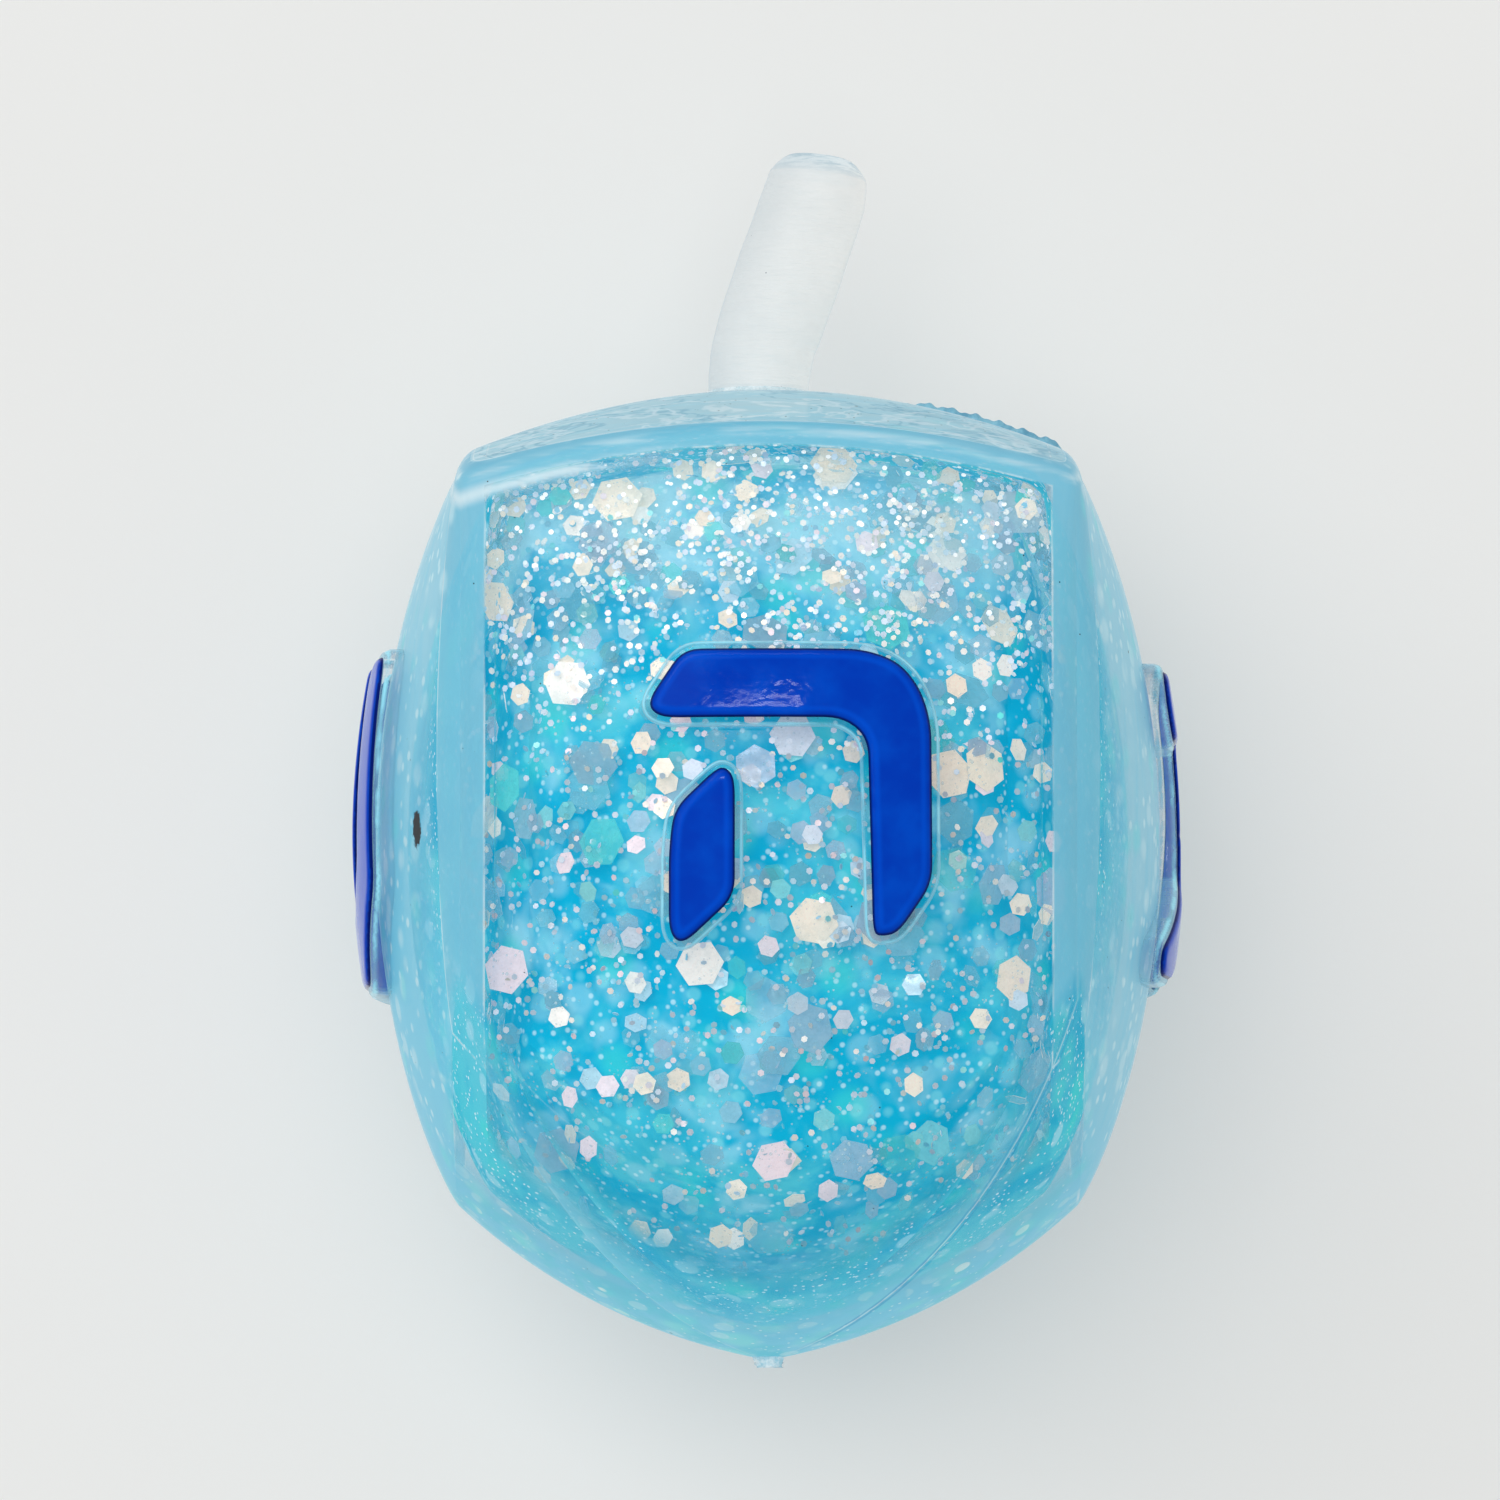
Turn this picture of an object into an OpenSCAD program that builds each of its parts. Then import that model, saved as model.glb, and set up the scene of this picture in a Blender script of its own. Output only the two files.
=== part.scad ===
// Soft spinning top with four sides: a clear moulded skin full of tinted liquid and glitter,
// raised painted letters on its four faces, and a bent rod for a stem.
// It lies on its back, as a top does once it has fallen. +Z points out of the front face,
// +Y runs along the spin axis from the tip to the stem, and the origin is on the table under
// the middle of the whole part. Inside this file a point is [a, b, s]: a out of the front
// face, b to its right, and s along the spin axis from the point where the ogive would end.

/* [Body] */
// Width over two opposite faces at their straight upright edges
face_w = 38.4; // [36:0.2:42]
// How far the filled skin swells out in the middle of a face
face_bulge = 5.3; // [4:0.1:6]
// Rounding of the four upright edges
edge_r = 1.7; // [1:0.1:2.5]
// Height from the tip to the crown
crown_h = 60.5; // [56:0.5:64]
// Drop from the crown to the middle of a top edge
dome_rise = 4.25; // [3:0.05:5.5]
// Further drop from the middle of a top edge to its corners
corner_drop = 2.9; // [2:0.1:4]
// Rounding of the top edges
top_fillet = 1.2; // [0.8:0.1:1.6]
// Thickness of the skin
wall = 2; // [1.6:0.1:2.4]
// How far the back face is pressed flat by the weight that lies on it
rest_sink = 1.2; // [0.8:0.1:1.6]

/* [Ogive] */
// Radius of the pointed arch that is turned into the lower end
ogive_r = 38; // [34:0.5:44]
// Height above the tip at which the upright edges run out on the ogive
ogive_h = 21.4; // [19:0.2:24]
// Radius of the small flat that is left at the tip
tip_land_r = 1.1; // [0.9:0.05:1.4]
// Length of the moulding nub on the tip
nub_len = 0.7; // [0.5:0.1:1.2]

/* [Letters] */
// Width that the letter outlines are drawn to
letter_w = 18; // [15:0.5:19]
// Height that the letter outlines are drawn to
letter_h = 18; // [15:0.5:19]
// Height of a letter's middle above the tip
letter_s = 33.1; // [31:0.1:35]
// Rounding of the painted outlines
letter_round = 0.5; // [0.2:0.05:0.7]
// How far the clear pad shows round the paint
pad_margin = 0.5; // [0.3:0.05:0.8]
// Height of the clear pad above the face
pad_rise = 1.2; // [0.8:0.1:1.8]
// Thickness of the paint on a pad
paint_t = 0.3; // [0.2:0.05:0.5]

/* [Stem] */
// Diameter of the rod at its foot and at its cut end
stem_d = 6.2; // [5:0.1:7]
// How much thicker the soft rod is half way up
stem_swell = 0.4; // [0:0.05:0.6]
// How far the rod's foot stands to the left of the spin axis
stem_offset = 0.6; // [0:0.1:1.5]
// Thickness of the bond round the rod in its hole
bond_t = 0.25; // [0.15:0.05:0.4]
// How far the bond stands above the crown
bond_rise = 0.35; // [0.2:0.05:0.6]
// Radius of the rod's first bend, to its centre line
bend_r = 13; // [10:0.5:18]
// Angle of the first bend, to the right
bend_angle = 19; // [10:1:25]
// Length of the straight run after it
run_len = 7.9; // [6:0.1:10]
// Radius of the second bend, to its centre line
back_r = 10; // [8:0.5:14]
// Angle of the second bend, back to the left
back_angle = 12; // [5:1:18]
// Height of the bevel at the cut end
bevel_h = 1.3; // [0.8:0.1:1.6]
// Width of that bevel
bevel_w = 1.1; // [0.6:0.1:1.4]
// Diameter of the dimple in the cut end
dimple_d = 1.8; // [1.2:0.1:2.4]
// Depth of the dimple
dimple_depth = 0.4; // [0.2:0.05:0.6]

/* [Glitter] */
// Width of a large flake over its corners
large_d = 3; // [2.4:0.1:3.2]
// Width of a medium flake over its corners
medium_d = 1.5; // [1.2:0.1:2]
// Width of a fine flake over its corners
fine_d = 0.8; // [0.5:0.05:1]
// Thickness of a flake
flake_t = 0.1; // [0.08:0.01:0.2]
// Distance between the places that a flake can take
flake_pitch = 4.6; // [4.4:0.1:6]

/* [Hidden] */

// How full the swell of a face is: 1 is a parabola, and less is rounder
bulge_power = 0.85;
// How far the seams pull the ogive in on its diagonals
seam_pull_share = 0.05;
// Flat at the foot of the cavity, as a share of the flat on the tip
cave_tip_share = 0.4;
// Least distance from a flake to the inside of the skin
flake_gap = 0.3;
// How much narrower the nub's foot and its end are than the flat on the tip
nub_gap = 0.05;
nub_taper = 0.3;
// Overrun of every cut
over = 1;
// Smallest share that is divided by
least_share = 1e-6;

half_w = face_w / 2;
cave_half = half_w - wall;
face_out = half_w + face_bulge;
paint_out = face_out + pad_rise + paint_t;

// The arch runs from the tip through the foot of an upright edge. Its centre is as far from
// both, past the spin axis and above the tip
foot = [norm(face_point(half_w, 1, 0)) / (1 - seam_pull_share), ogive_h];
to_centre = sqrt(pow(ogive_r, 2) - pow(norm(foot) / 2, 2)) / norm(foot);
ogive_setback = to_centre * foot.y - foot.x / 2;
ogive_s = to_centre * foot.x + foot.y / 2;
cave_ogive_r = ogive_r - wall;
tip_s = ogive_s - sqrt(pow(ogive_r, 2) - pow(tip_land_r + ogive_setback, 2));
// The lower end of the rod's root is level with the top of the cavity
root_s = crown_h - wall;
stem_r = stem_d / 2;
hole_r = stem_r + bond_t;
end_angle = bend_angle - back_angle;

// Rings round the rod, and steps along its first bend, its straight run and its bend back
rod_sides = 32;
bend_steps = 4;
run_steps = 2;
back_steps = 3;
// The wall of the dimple, as shares of its radius and of its depth
dimple_wall_share = [0.65, 0.75];

// Places on the rod's centre line, as [b, s]
bend_end = [
    bend_r * (1 - cos(bend_angle)) - stem_offset,
    crown_h + bend_r * sin(bend_angle)
];
run_end = bend_end + run_len * [sin(bend_angle), cos(bend_angle)];
back_centre = run_end + back_r * [-cos(bend_angle), sin(bend_angle)];
rod_end = back_centre + back_r * [cos(end_angle), -sin(end_angle)];
rod_top = rod_end.y + max(
    stem_r * sin(end_angle),
    bevel_h * cos(end_angle) + (stem_r - bevel_w) * sin(end_angle)
);

// The origin: half way between the nub's end and the rod's end, at the level of the table
mid_s = (tip_s - nub_len + rod_top) / 2;
axis_z = paint_out - rest_sink;

// Letter outlines, as shares of the letter's width and height
hei_roof_share = [
    [-0.287, 0.5], [0.313, 0.5], [0.433, 0.46], [0.507, 0.37], [0.543, 0.25],
    [0.546, -0.283], [0.433, -0.45], [0.376, -0.463], [0.347, -0.453],
    [0.33, 0.2], [0.247, 0.267], [-0.366, 0.267], [-0.409, 0.317]
];
hei_leg_share = [
    [-0.173, 0.097], [-0.14, 0.097], [-0.113, 0.06], [-0.113, -0.333],
    [-0.287, -0.493], [-0.333, -0.453], [-0.333, -0.18], [-0.317, -0.04]
];
gimel_stem_share = [
    [-0.25, 0.535], [0.14, 0.535], [0.3, 0.44], [0.33, 0.05], [0.45, -0.46],
    [0.4, -0.535], [0.25, -0.535], [0.11, -0.02], [0.09, 0.29], [-0.25, 0.29], [-0.32, 0.41]
];
gimel_foot_share = [
    [0.1, 0.02], [0.3, -0.14], [-0.17, -0.535], [-0.42, -0.535], [-0.46, -0.45], [0.08, -0.17]
];
nun_share = [
    [-0.14, 0.5], [0.16, 0.5], [0.31, 0.42], [0.35, 0.24], [0.35, -0.5], [-0.36, -0.5],
    [-0.42, -0.4], [-0.36, -0.27], [0.12, -0.27], [0.12, 0.27], [-0.14, 0.27], [-0.21, 0.38]
];
shin_bowl_share = [
    [-0.52, 0.56], [-0.33, 0.56], [-0.29, -0.3], [0.16, -0.3], [0.31, -0.12], [0.31, 0.5],
    [0.36, 0.56], [0.5, 0.56], [0.53, 0.5], [0.53, -0.22], [0.27, -0.56], [-0.47, -0.56]
];
shin_arm_share = [
    [-0.1, 0.56], [0.11, 0.56], [0.09, 0.05], [-0.12, -0.4], [-0.31, -0.4], [-0.12, 0.02]
];

// The outlines of each letter, and the face that it is on: 0 is the front, then to the right
hei = [hei_roof_share, hei_leg_share];
gimel = [gimel_stem_share, gimel_foot_share];
nun = [nun_share];
shin = [shin_bowl_share, shin_arm_share];
front_face = 0;
right_face = 1;
back_face = 2;
left_face = 3;

// Counts of the grids: columns in half a face, and rows of the ogive, faces, fillet and dome
skin_grid = [10, 10, 14, 2, 4];
cave_grid = [7, 7, 9, 1, 4];
// Columns and rows of a face's grid that a letter's slab covers
slab_cols = 5;
slab_rows = [2, 12];

function mix(p, q, f) = p + (q - p) * f;
function quarter(k, p) = [[p.x, p.y], [-p.y, p.x], [-p.x, -p.y], [p.y, -p.x]][k];

// Power whose rounded square has corners of radius edge_r
function edge_power(half) = -ln(2) / ln(1 - (1 - sqrt(0.5)) * edge_r / half);

// Point [a, b] of a face at t, from -1 to 1 across it, that swells out by bulge in its middle
function face_point(half, t, bulge) =
    let (p = edge_power(half), k = pow(1 + pow(abs(t), p), -1 / p))
    [k * (half + bulge * (1 - t * t)), k * half * t];

// Level of the top of the body over [a, b]: lower along the edges, and lower still at corners
function dome_level(p, crown) =
    let (u = pow(p.x / half_w, 2), v = pow(p.y / half_w, 2))
    crown - dome_rise * (u + v) + (dome_rise - corner_drop) * u * v;

// Angle on the pointed arch at which its turned radius is r
function arch_angle(arch_r, r) = acos((r + ogive_setback) / arch_r);

// Point [a, b, s] of the ogive at t across a face, and f of the way from the tip to the face
function ogive_point(half, arch_r, tip_r, t, f) =
    let (
        pull = 1 - seam_pull_share * t * t,
        rim = norm(face_point(half, t, 0)) / pull,
        turn = mix(arch_angle(arch_r, tip_r), arch_angle(arch_r, rim), f),
        r = (arch_r * cos(turn) - ogive_setback) * pull / sqrt(1 + t * t)
    )
    [r, r * t, ogive_s - arch_r * sin(turn)];

// Point [a, b, s] of face k at t across it, and g of the way from the ogive to the top edge
function side_point(half, arch_r, crown, k, t, g) =
    let (
        edge = face_point(half, t, 0),
        low = ogive_point(half, arch_r, 0, t, 1).z,
        high = dome_level(edge, crown) - top_fillet,
        swell = face_bulge * pow(4 * g * (1 - g), bulge_power),
        pressed = (face_bulge - rest_sink) / max(1 - t * t, least_share),
        bulge = k == back_face ? min(swell, pressed) : swell,
        p = face_point(half, t, bulge)
    )
    [p.x, p.y, mix(low, high, g)];

// Point [a, b, s] of the rounded top edge at turn, from 0 on the face to 90 on the dome
function fillet_point(half, crown, t, turn) =
    let (p = face_point(half, t, 0) * (1 - top_fillet * (1 - cos(turn)) / half))
    [p.x, p.y, dome_level(p, crown) - top_fillet * (1 - sin(turn))];

// Point [a, b, s] of the dome, f of the way from its edge to the pole under the rod
function dome_point(half, crown, k, t, f) =
    let (
        edge = quarter(k, face_point(half, t, 0) * (1 - top_fillet / half)),
        p = mix(edge, [0, -stem_offset], f)
    )
    [p.x, p.y, dome_level(p, crown)];

function turned(k, p) = [quarter(k, p).x, quarter(k, p).y, p.z];

// Rings of points from the tip to the pole, for the skin or for the cavity inside it
function body_rings(half, arch_r, tip_r, crown, grid) =
    let (n = grid[0], cols = [for (k = [0:3], i = [-n:n - 1]) [k, sin(90 * i / n)]])
    [
        for (j = [0:grid[1] - 1])
            [for (c = cols) turned(c[0], ogive_point(half, arch_r, tip_r, c[1], j / grid[1]))],
        for (j = [0:grid[2] - 1])
            [for (c = cols) turned(c[0], side_point(half, arch_r, crown, c[0], c[1], j / grid[2]))],
        for (j = [0:grid[3] - 1])
            [for (c = cols) turned(c[0], fillet_point(half, crown, c[1], 90 * j / grid[3]))],
        for (j = [0:grid[4] - 1])
            [for (c = cols) dome_point(half, crown, c[0], c[1], j / grid[4])]
    ];

// Moves what is drawn in [a, b, s] to where it lies on the table
module laid() {
    multmatrix([[0, 1, 0, 0], [0, 0, 1, -mid_s], [1, 0, 0, axis_z], [0, 0, 0, 1]])
        children();
}

// Moves what is drawn in [b, s, a], flat on the XY plane, to where it lies on the table
module flat_laid() {
    translate([0, -mid_s, axis_z])
        children();
}

// Closed solid of the body, flat at the tip and closed in one point under the rod
module body_solid(half, arch_r, tip_r, crown, grid) {
    rings = body_rings(half, arch_r, tip_r, crown, grid);
    n = len(rings[0]);
    last = len(rings) - 1;
    pole = [0, -stem_offset, dome_level([0, -stem_offset], crown)];
    points = concat([for (r = rings, p = r) p], [pole]);
    faces = [
        [for (i = [0:n - 1]) i],
        for (j = [0:last - 1], i = [0:n - 1], half_quad = [0, 1])
            let (k = (i + 1) % n, low = j * n, high = low + n)
            half_quad == 0 ? [low + i, high + i, high + k] : [low + i, high + k, low + k],
        for (i = [0:n - 1]) [last * n + i, len(points) - 1, last * n + (i + 1) % n]
    ];
    polyhedron(points, faces, convexity = 4);
}

module skin_solid() {
    body_solid(half_w, ogive_r, tip_land_r, crown_h, skin_grid);
}

module cave_solid() {
    body_solid(cave_half, cave_ogive_r, cave_tip_share * tip_land_r, crown_h - wall, cave_grid);
}

// Clear moulded skin: pillow faces, turned ogive, shallow dome and the filling hole
module shell() {
    color("lightcyan", 0.6)
        laid()
            difference() {
                skin_solid();
                cave_solid();
                translate([0, -stem_offset, root_s - over])
                    cylinder(h = wall + 2 * over, r = hole_r, $fn = 64);
            }
}

// Part of face k's swollen surface, lifted from low to high above it
module face_slab(k, low, high) {
    ts = [for (i = [-slab_cols:slab_cols]) sin(90 * i / skin_grid[0])];
    gs = [for (j = [slab_rows[0]:slab_rows[1]]) j / skin_grid[2]];
    w = len(ts);
    layer = w * len(gs);
    points = [
        for (lift = [low, high], g = gs, t = ts)
            side_point(half_w, ogive_r, crown_h, k, t, g) + [lift, 0, 0]
    ];
    function at(l, j, i) = l * layer + j * w + i;
    across = [for (i = [0:w - 2]) i];
    along = [for (j = [0:len(gs) - 2]) j];
    rows = len(gs) - 1;
    faces = [
        for (j = along, i = across) [at(1, j, i), at(1, j + 1, i), at(1, j + 1, i + 1)],
        for (j = along, i = across) [at(1, j, i), at(1, j + 1, i + 1), at(1, j, i + 1)],
        for (j = along, i = across) [at(0, j, i), at(0, j + 1, i + 1), at(0, j + 1, i)],
        for (j = along, i = across) [at(0, j, i), at(0, j, i + 1), at(0, j + 1, i + 1)],
        for (i = across) [at(0, 0, i), at(1, 0, i), at(1, 0, i + 1)],
        for (i = across) [at(0, 0, i), at(1, 0, i + 1), at(0, 0, i + 1)],
        for (i = across) [at(0, rows, i), at(1, rows, i + 1), at(1, rows, i)],
        for (i = across) [at(0, rows, i), at(0, rows, i + 1), at(1, rows, i + 1)],
        for (j = along) [at(0, j, 0), at(1, j + 1, 0), at(1, j, 0)],
        for (j = along) [at(0, j, 0), at(0, j + 1, 0), at(1, j + 1, 0)],
        for (j = along) [at(0, j, w - 1), at(1, j, w - 1), at(1, j + 1, w - 1)],
        for (j = along) [at(0, j, w - 1), at(1, j + 1, w - 1), at(0, j + 1, w - 1)]
    ];
    polyhedron(points, faces, convexity = 4);
}

// Flat outline of a letter, widened all round by margin
module letter_outline(strokes, margin) {
    offset(r = margin + letter_round, $fn = 24)
        offset(delta = -letter_round)
            for (stroke = strokes)
                polygon([for (p = stroke) [p.x * letter_w, p.y * letter_h]]);
}

// A letter that stands on face k between two lifts, and follows the swell of the face
module letter_layer(strokes, k, margin, low, high) {
    laid()
        rotate([0, 0, 90 * k])
            intersection() {
                face_slab(k, low, high);
                translate([0, 0, letter_s])
                    multmatrix([[0, 0, 1, 0], [1, 0, 0, 0], [0, 1, 0, 0], [0, 0, 0, 1]])
                        linear_extrude(height = paint_out + over)
                            letter_outline(strokes, margin);
            }
}

module letter_pad(strokes, k) {
    color("aliceblue", 0.6)
        letter_layer(strokes, k, pad_margin, 0, pad_rise);
}

module letter_paint(strokes, k) {
    color("mediumblue")
        letter_layer(strokes, k, 0, pad_rise, pad_rise + paint_t);
}

// Radius of the cavity's ogive at a level, on its diagonals
function cave_room(s) =
    (1 - seam_pull_share) * (sqrt(pow(cave_ogive_r, 2) - pow(ogive_s - s, 2)) - ogive_setback);

// Whether a ball of radius r at p keeps its distance from the inside of the skin
function fits(p, r) =
    let (m = r + flake_gap, low = p.z - m > ogive_s - cave_ogive_r)
    abs(p.x) + m < cave_half && abs(p.y) + m < cave_half
    && norm([abs(p.x) + m, abs(p.y) + m]) < cave_half * sqrt(2) - edge_r
    && (p.z > ogive_s || (low && norm([p.x, p.y]) + m < cave_room(p.z - m)))
    && p.z + m < dome_level([abs(p.x) + m, abs(p.y) + m], crown_h - wall);

// Every flake as [size, place, turn]. A place is a cell of a cubic lattice, and a seed for each
// cell picks the flake's size and turn, and how far it lies from the middle of its cell
cells = ceil(half_w / flake_pitch);
levels = ceil(crown_h / flake_pitch);
sizes = [large_d, medium_d, fine_d];
size_limit_share = [0.1, 0.28, 0.54];
flakes = [
    for (i = [-cells:cells], j = [-cells:cells], l = [0:levels])
        let (
            pick = rands(0, 1, 7, 1 + (i + cells) + 31 * (j + cells) + 997 * l),
            size = pick[0] < size_limit_share[0] ? 0
                : pick[0] < size_limit_share[1] ? 1
                : pick[0] < size_limit_share[2] ? 2 : -1
        )
        if (size >= 0)
            let (
                slack = flake_pitch - sizes[size],
                jitter = [for (c = [1:3]) (pick[c] - 0.5) * slack],
                place = flake_pitch * [i, j, l + 0.5] + jitter
            )
            if (fits(place, sizes[size] / 2))
                [size, place, [for (c = [4:6]) 360 * pick[c]]]
];

// All flakes of one size: 0 is large, 1 is medium and 2 is fine
module flake_group(size) {
    for (f = flakes)
        if (f[0] == size)
            translate(f[1])
                rotate(f[2])
                    translate([0, 0, -flake_t / 2])
                        cylinder(h = flake_t, d = sizes[size], $fn = 6);
}

// Tinted water, with a pocket for each flake that floats in it
module liquid_fill() {
    color("deepskyblue", 0.7)
        laid()
            difference() {
                cave_solid();
                for (size = [0:2])
                    flake_group(size);
            }
}

module glitter_large() {
    color("lavenderblush")
        laid()
            flake_group(0);
}

module glitter_medium() {
    color("honeydew")
        laid()
            flake_group(1);
}

module glitter_fine() {
    color("mistyrose")
        laid()
            flake_group(2);
}

// Radius of the rod, f of the way from its foot to its cut end
function rod_radius(f) = stem_r + stem_swell / 2 * sin(180 * f);

// Rings of the rod as [centre, lean, radius], from its root to the bottom of the dimple
function rod_rings() =
    let (
        steps = bend_steps + run_steps + back_steps,
        end_dir = [sin(end_angle), cos(end_angle)],
        face = rod_end + bevel_h * end_dir
    )
    [
        [[-stem_offset, root_s], 0, stem_r],
        for (i = [0:bend_steps])
            let (lean = bend_angle * i / bend_steps)
            [
                [bend_r * (1 - cos(lean)) - stem_offset, crown_h + bend_r * sin(lean)],
                lean, rod_radius(i / steps)
            ],
        for (i = [1:run_steps])
            [mix(bend_end, run_end, i / run_steps), bend_angle, rod_radius((bend_steps + i) / steps)],
        for (i = [1:back_steps])
            let (lean = bend_angle - back_angle * i / back_steps)
            [
                back_centre + back_r * [cos(lean), -sin(lean)],
                lean, rod_radius((bend_steps + run_steps + i) / steps)
            ],
        [face, end_angle, stem_r - bevel_w],
        [face, end_angle, dimple_d / 2],
        [
            face - dimple_depth * dimple_wall_share[1] * end_dir,
            end_angle, dimple_wall_share[0] * dimple_d / 2
        ]
    ];

// Bent rod: root in the filling hole, two bends, and a bevelled end with a dimple
module stem() {
    rings = rod_rings();
    n = rod_sides;
    last = len(rings) - 1;
    dir = [sin(end_angle), cos(end_angle)];
    floor_at = rod_end + (bevel_h - dimple_depth) * dir;
    points = concat(
        [
            for (r = rings, i = [0:n - 1])
                let (c = r[0], u = r[2] * cos(360 * i / n))
                [c.x + u * cos(r[1]), c.y - u * sin(r[1]), r[2] * sin(360 * i / n)]
        ],
        [[floor_at.x, floor_at.y, 0]]
    );
    faces = [
        [for (i = [0:n - 1]) n - 1 - i],
        for (j = [0:last - 1], i = [0:n - 1])
            let (k = (i + 1) % n)
            [j * n + i, j * n + k, (j + 1) * n + k],
        for (j = [0:last - 1], i = [0:n - 1])
            let (k = (i + 1) % n)
            [j * n + i, (j + 1) * n + k, (j + 1) * n + i],
        for (i = [0:n - 1]) [last * n + i, last * n + (i + 1) % n, (last + 1) * n]
    ];
    color("whitesmoke")
        flat_laid()
            polyhedron(points, faces, convexity = 4);
}

// Clear bond that fills the gap between the rod and its hole
module stem_bond() {
    color("azure", 0.6)
        laid()
            translate([0, -stem_offset, root_s])
                difference() {
                    cylinder(h = wall + bond_rise, r = hole_r, $fn = 64);
                    translate([0, 0, -over])
                        cylinder(h = wall + bond_rise + 2 * over, r = stem_r, $fn = 64);
                }
}

// Nub that the mould's gate leaves on the tip
module gate_nub() {
    color("aliceblue", 0.6)
        laid()
            translate([0, 0, tip_s - nub_len])
                cylinder(h = nub_len, r1 = tip_land_r - nub_taper, r2 = tip_land_r - nub_gap, $fn = 32);
}

module pad_hei() letter_pad(hei, front_face);
module pad_gimel() letter_pad(gimel, right_face);
module pad_nun() letter_pad(nun, back_face);
module pad_shin() letter_pad(shin, left_face);
module paint_hei() letter_paint(hei, front_face);
module paint_gimel() letter_paint(gimel, right_face);
module paint_nun() letter_paint(nun, back_face);
module paint_shin() letter_paint(shin, left_face);

shell();
liquid_fill();
glitter_large();
glitter_medium();
glitter_fine();
stem();
stem_bond();
gate_nub();
pad_hei();
pad_gimel();
pad_nun();
pad_shin();
paint_hei();
paint_gimel();
paint_nun();
paint_shin();
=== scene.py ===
"""Dresses the CAD model of a soft four-sided spinning top for its picture: a clear moulded skin,
tinted liquid with glitter, painted letters and a bent frosted stem, on a pale floor.

The top lies on its back. +Z points out of its front face, +Y runs along the spin axis from the
tip to the stem. The shape functions work in [a, b, s], as the CAD model does: a out of the front
face, b to its right, s along the spin axis. Everything is in metres, but for the sizes that a
finish is given for its patterns, which are millimetres."""

import math

import bpy
import numpy as np
from bpy.props import FloatProperty, FloatVectorProperty, IntProperty, PointerProperty
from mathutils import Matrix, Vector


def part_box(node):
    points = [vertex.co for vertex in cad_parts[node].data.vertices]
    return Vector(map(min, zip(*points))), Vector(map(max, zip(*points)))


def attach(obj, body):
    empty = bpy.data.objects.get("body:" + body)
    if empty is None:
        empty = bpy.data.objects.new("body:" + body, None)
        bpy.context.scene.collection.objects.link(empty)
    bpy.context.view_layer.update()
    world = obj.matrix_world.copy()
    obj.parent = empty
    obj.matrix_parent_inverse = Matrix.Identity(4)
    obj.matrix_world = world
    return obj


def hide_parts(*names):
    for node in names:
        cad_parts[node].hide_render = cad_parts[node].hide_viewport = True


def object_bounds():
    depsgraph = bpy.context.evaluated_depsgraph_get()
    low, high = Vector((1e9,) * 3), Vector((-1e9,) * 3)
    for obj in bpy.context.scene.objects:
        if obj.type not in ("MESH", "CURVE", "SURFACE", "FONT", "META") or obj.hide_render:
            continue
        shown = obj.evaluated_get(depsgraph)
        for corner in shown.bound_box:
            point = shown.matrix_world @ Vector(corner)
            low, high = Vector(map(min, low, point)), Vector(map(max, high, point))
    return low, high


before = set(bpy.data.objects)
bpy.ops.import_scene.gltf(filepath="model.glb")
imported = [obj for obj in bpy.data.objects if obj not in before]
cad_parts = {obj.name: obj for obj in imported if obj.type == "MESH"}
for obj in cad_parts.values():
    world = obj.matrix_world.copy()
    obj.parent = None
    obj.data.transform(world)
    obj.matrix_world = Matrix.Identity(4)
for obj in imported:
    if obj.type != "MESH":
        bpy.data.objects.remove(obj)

bl_info = {
    "name": "Glitter top",
    "version": (1, 0, 0),
    "blender": (4, 5, 0),
    "location": "View3D > Sidebar > Glitter top",
    "description": "Skin, liquid, glitter, letters and stem of a soft spinning top",
    "category": "Add Mesh",
}

CAD_LOW, CAD_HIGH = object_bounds()
MM = 0.001
BODY = "root"
FRONT, RIGHT, BACK, LEFT = range(4)

# Shares of the body's form, as in the CAD model
BULGE_POWER = 0.85
SEAM_PULL = 0.05
CAVE_TIP_SHARE = 0.4

# Takes the place of 0 where something is divided by it
LEAST_SHARE = 1e-6

# Where a black stain sits in the skin
STAIN = (-21.4 * MM, -5.6 * MM, 39.2 * MM)

# Letter outlines, as shares of the letter's width and height, as in the CAD model
HEI = [
    [
        (-0.287, 0.5), (0.313, 0.5), (0.433, 0.46), (0.507, 0.37), (0.543, 0.25),
        (0.546, -0.283), (0.433, -0.45), (0.376, -0.463), (0.347, -0.453),
        (0.33, 0.2), (0.247, 0.267), (-0.366, 0.267), (-0.409, 0.317),
    ],
    [
        (-0.173, 0.097), (-0.14, 0.097), (-0.113, 0.06), (-0.113, -0.333),
        (-0.287, -0.493), (-0.333, -0.453), (-0.333, -0.18), (-0.317, -0.04),
    ],
]
GIMEL = [
    [
        (-0.25, 0.535), (0.14, 0.535), (0.3, 0.44), (0.33, 0.05), (0.45, -0.46),
        (0.4, -0.535), (0.25, -0.535), (0.11, -0.02), (0.09, 0.29), (-0.25, 0.29),
        (-0.32, 0.41),
    ],
    [
        (0.1, 0.02), (0.3, -0.14), (-0.17, -0.535), (-0.42, -0.535), (-0.46, -0.45),
        (0.08, -0.17),
    ],
]
NUN = [
    [
        (-0.14, 0.5), (0.16, 0.5), (0.31, 0.42), (0.35, 0.24), (0.35, -0.5), (-0.36, -0.5),
        (-0.42, -0.4), (-0.36, -0.27), (0.12, -0.27), (0.12, 0.27), (-0.14, 0.27),
        (-0.21, 0.38),
    ],
]
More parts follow.
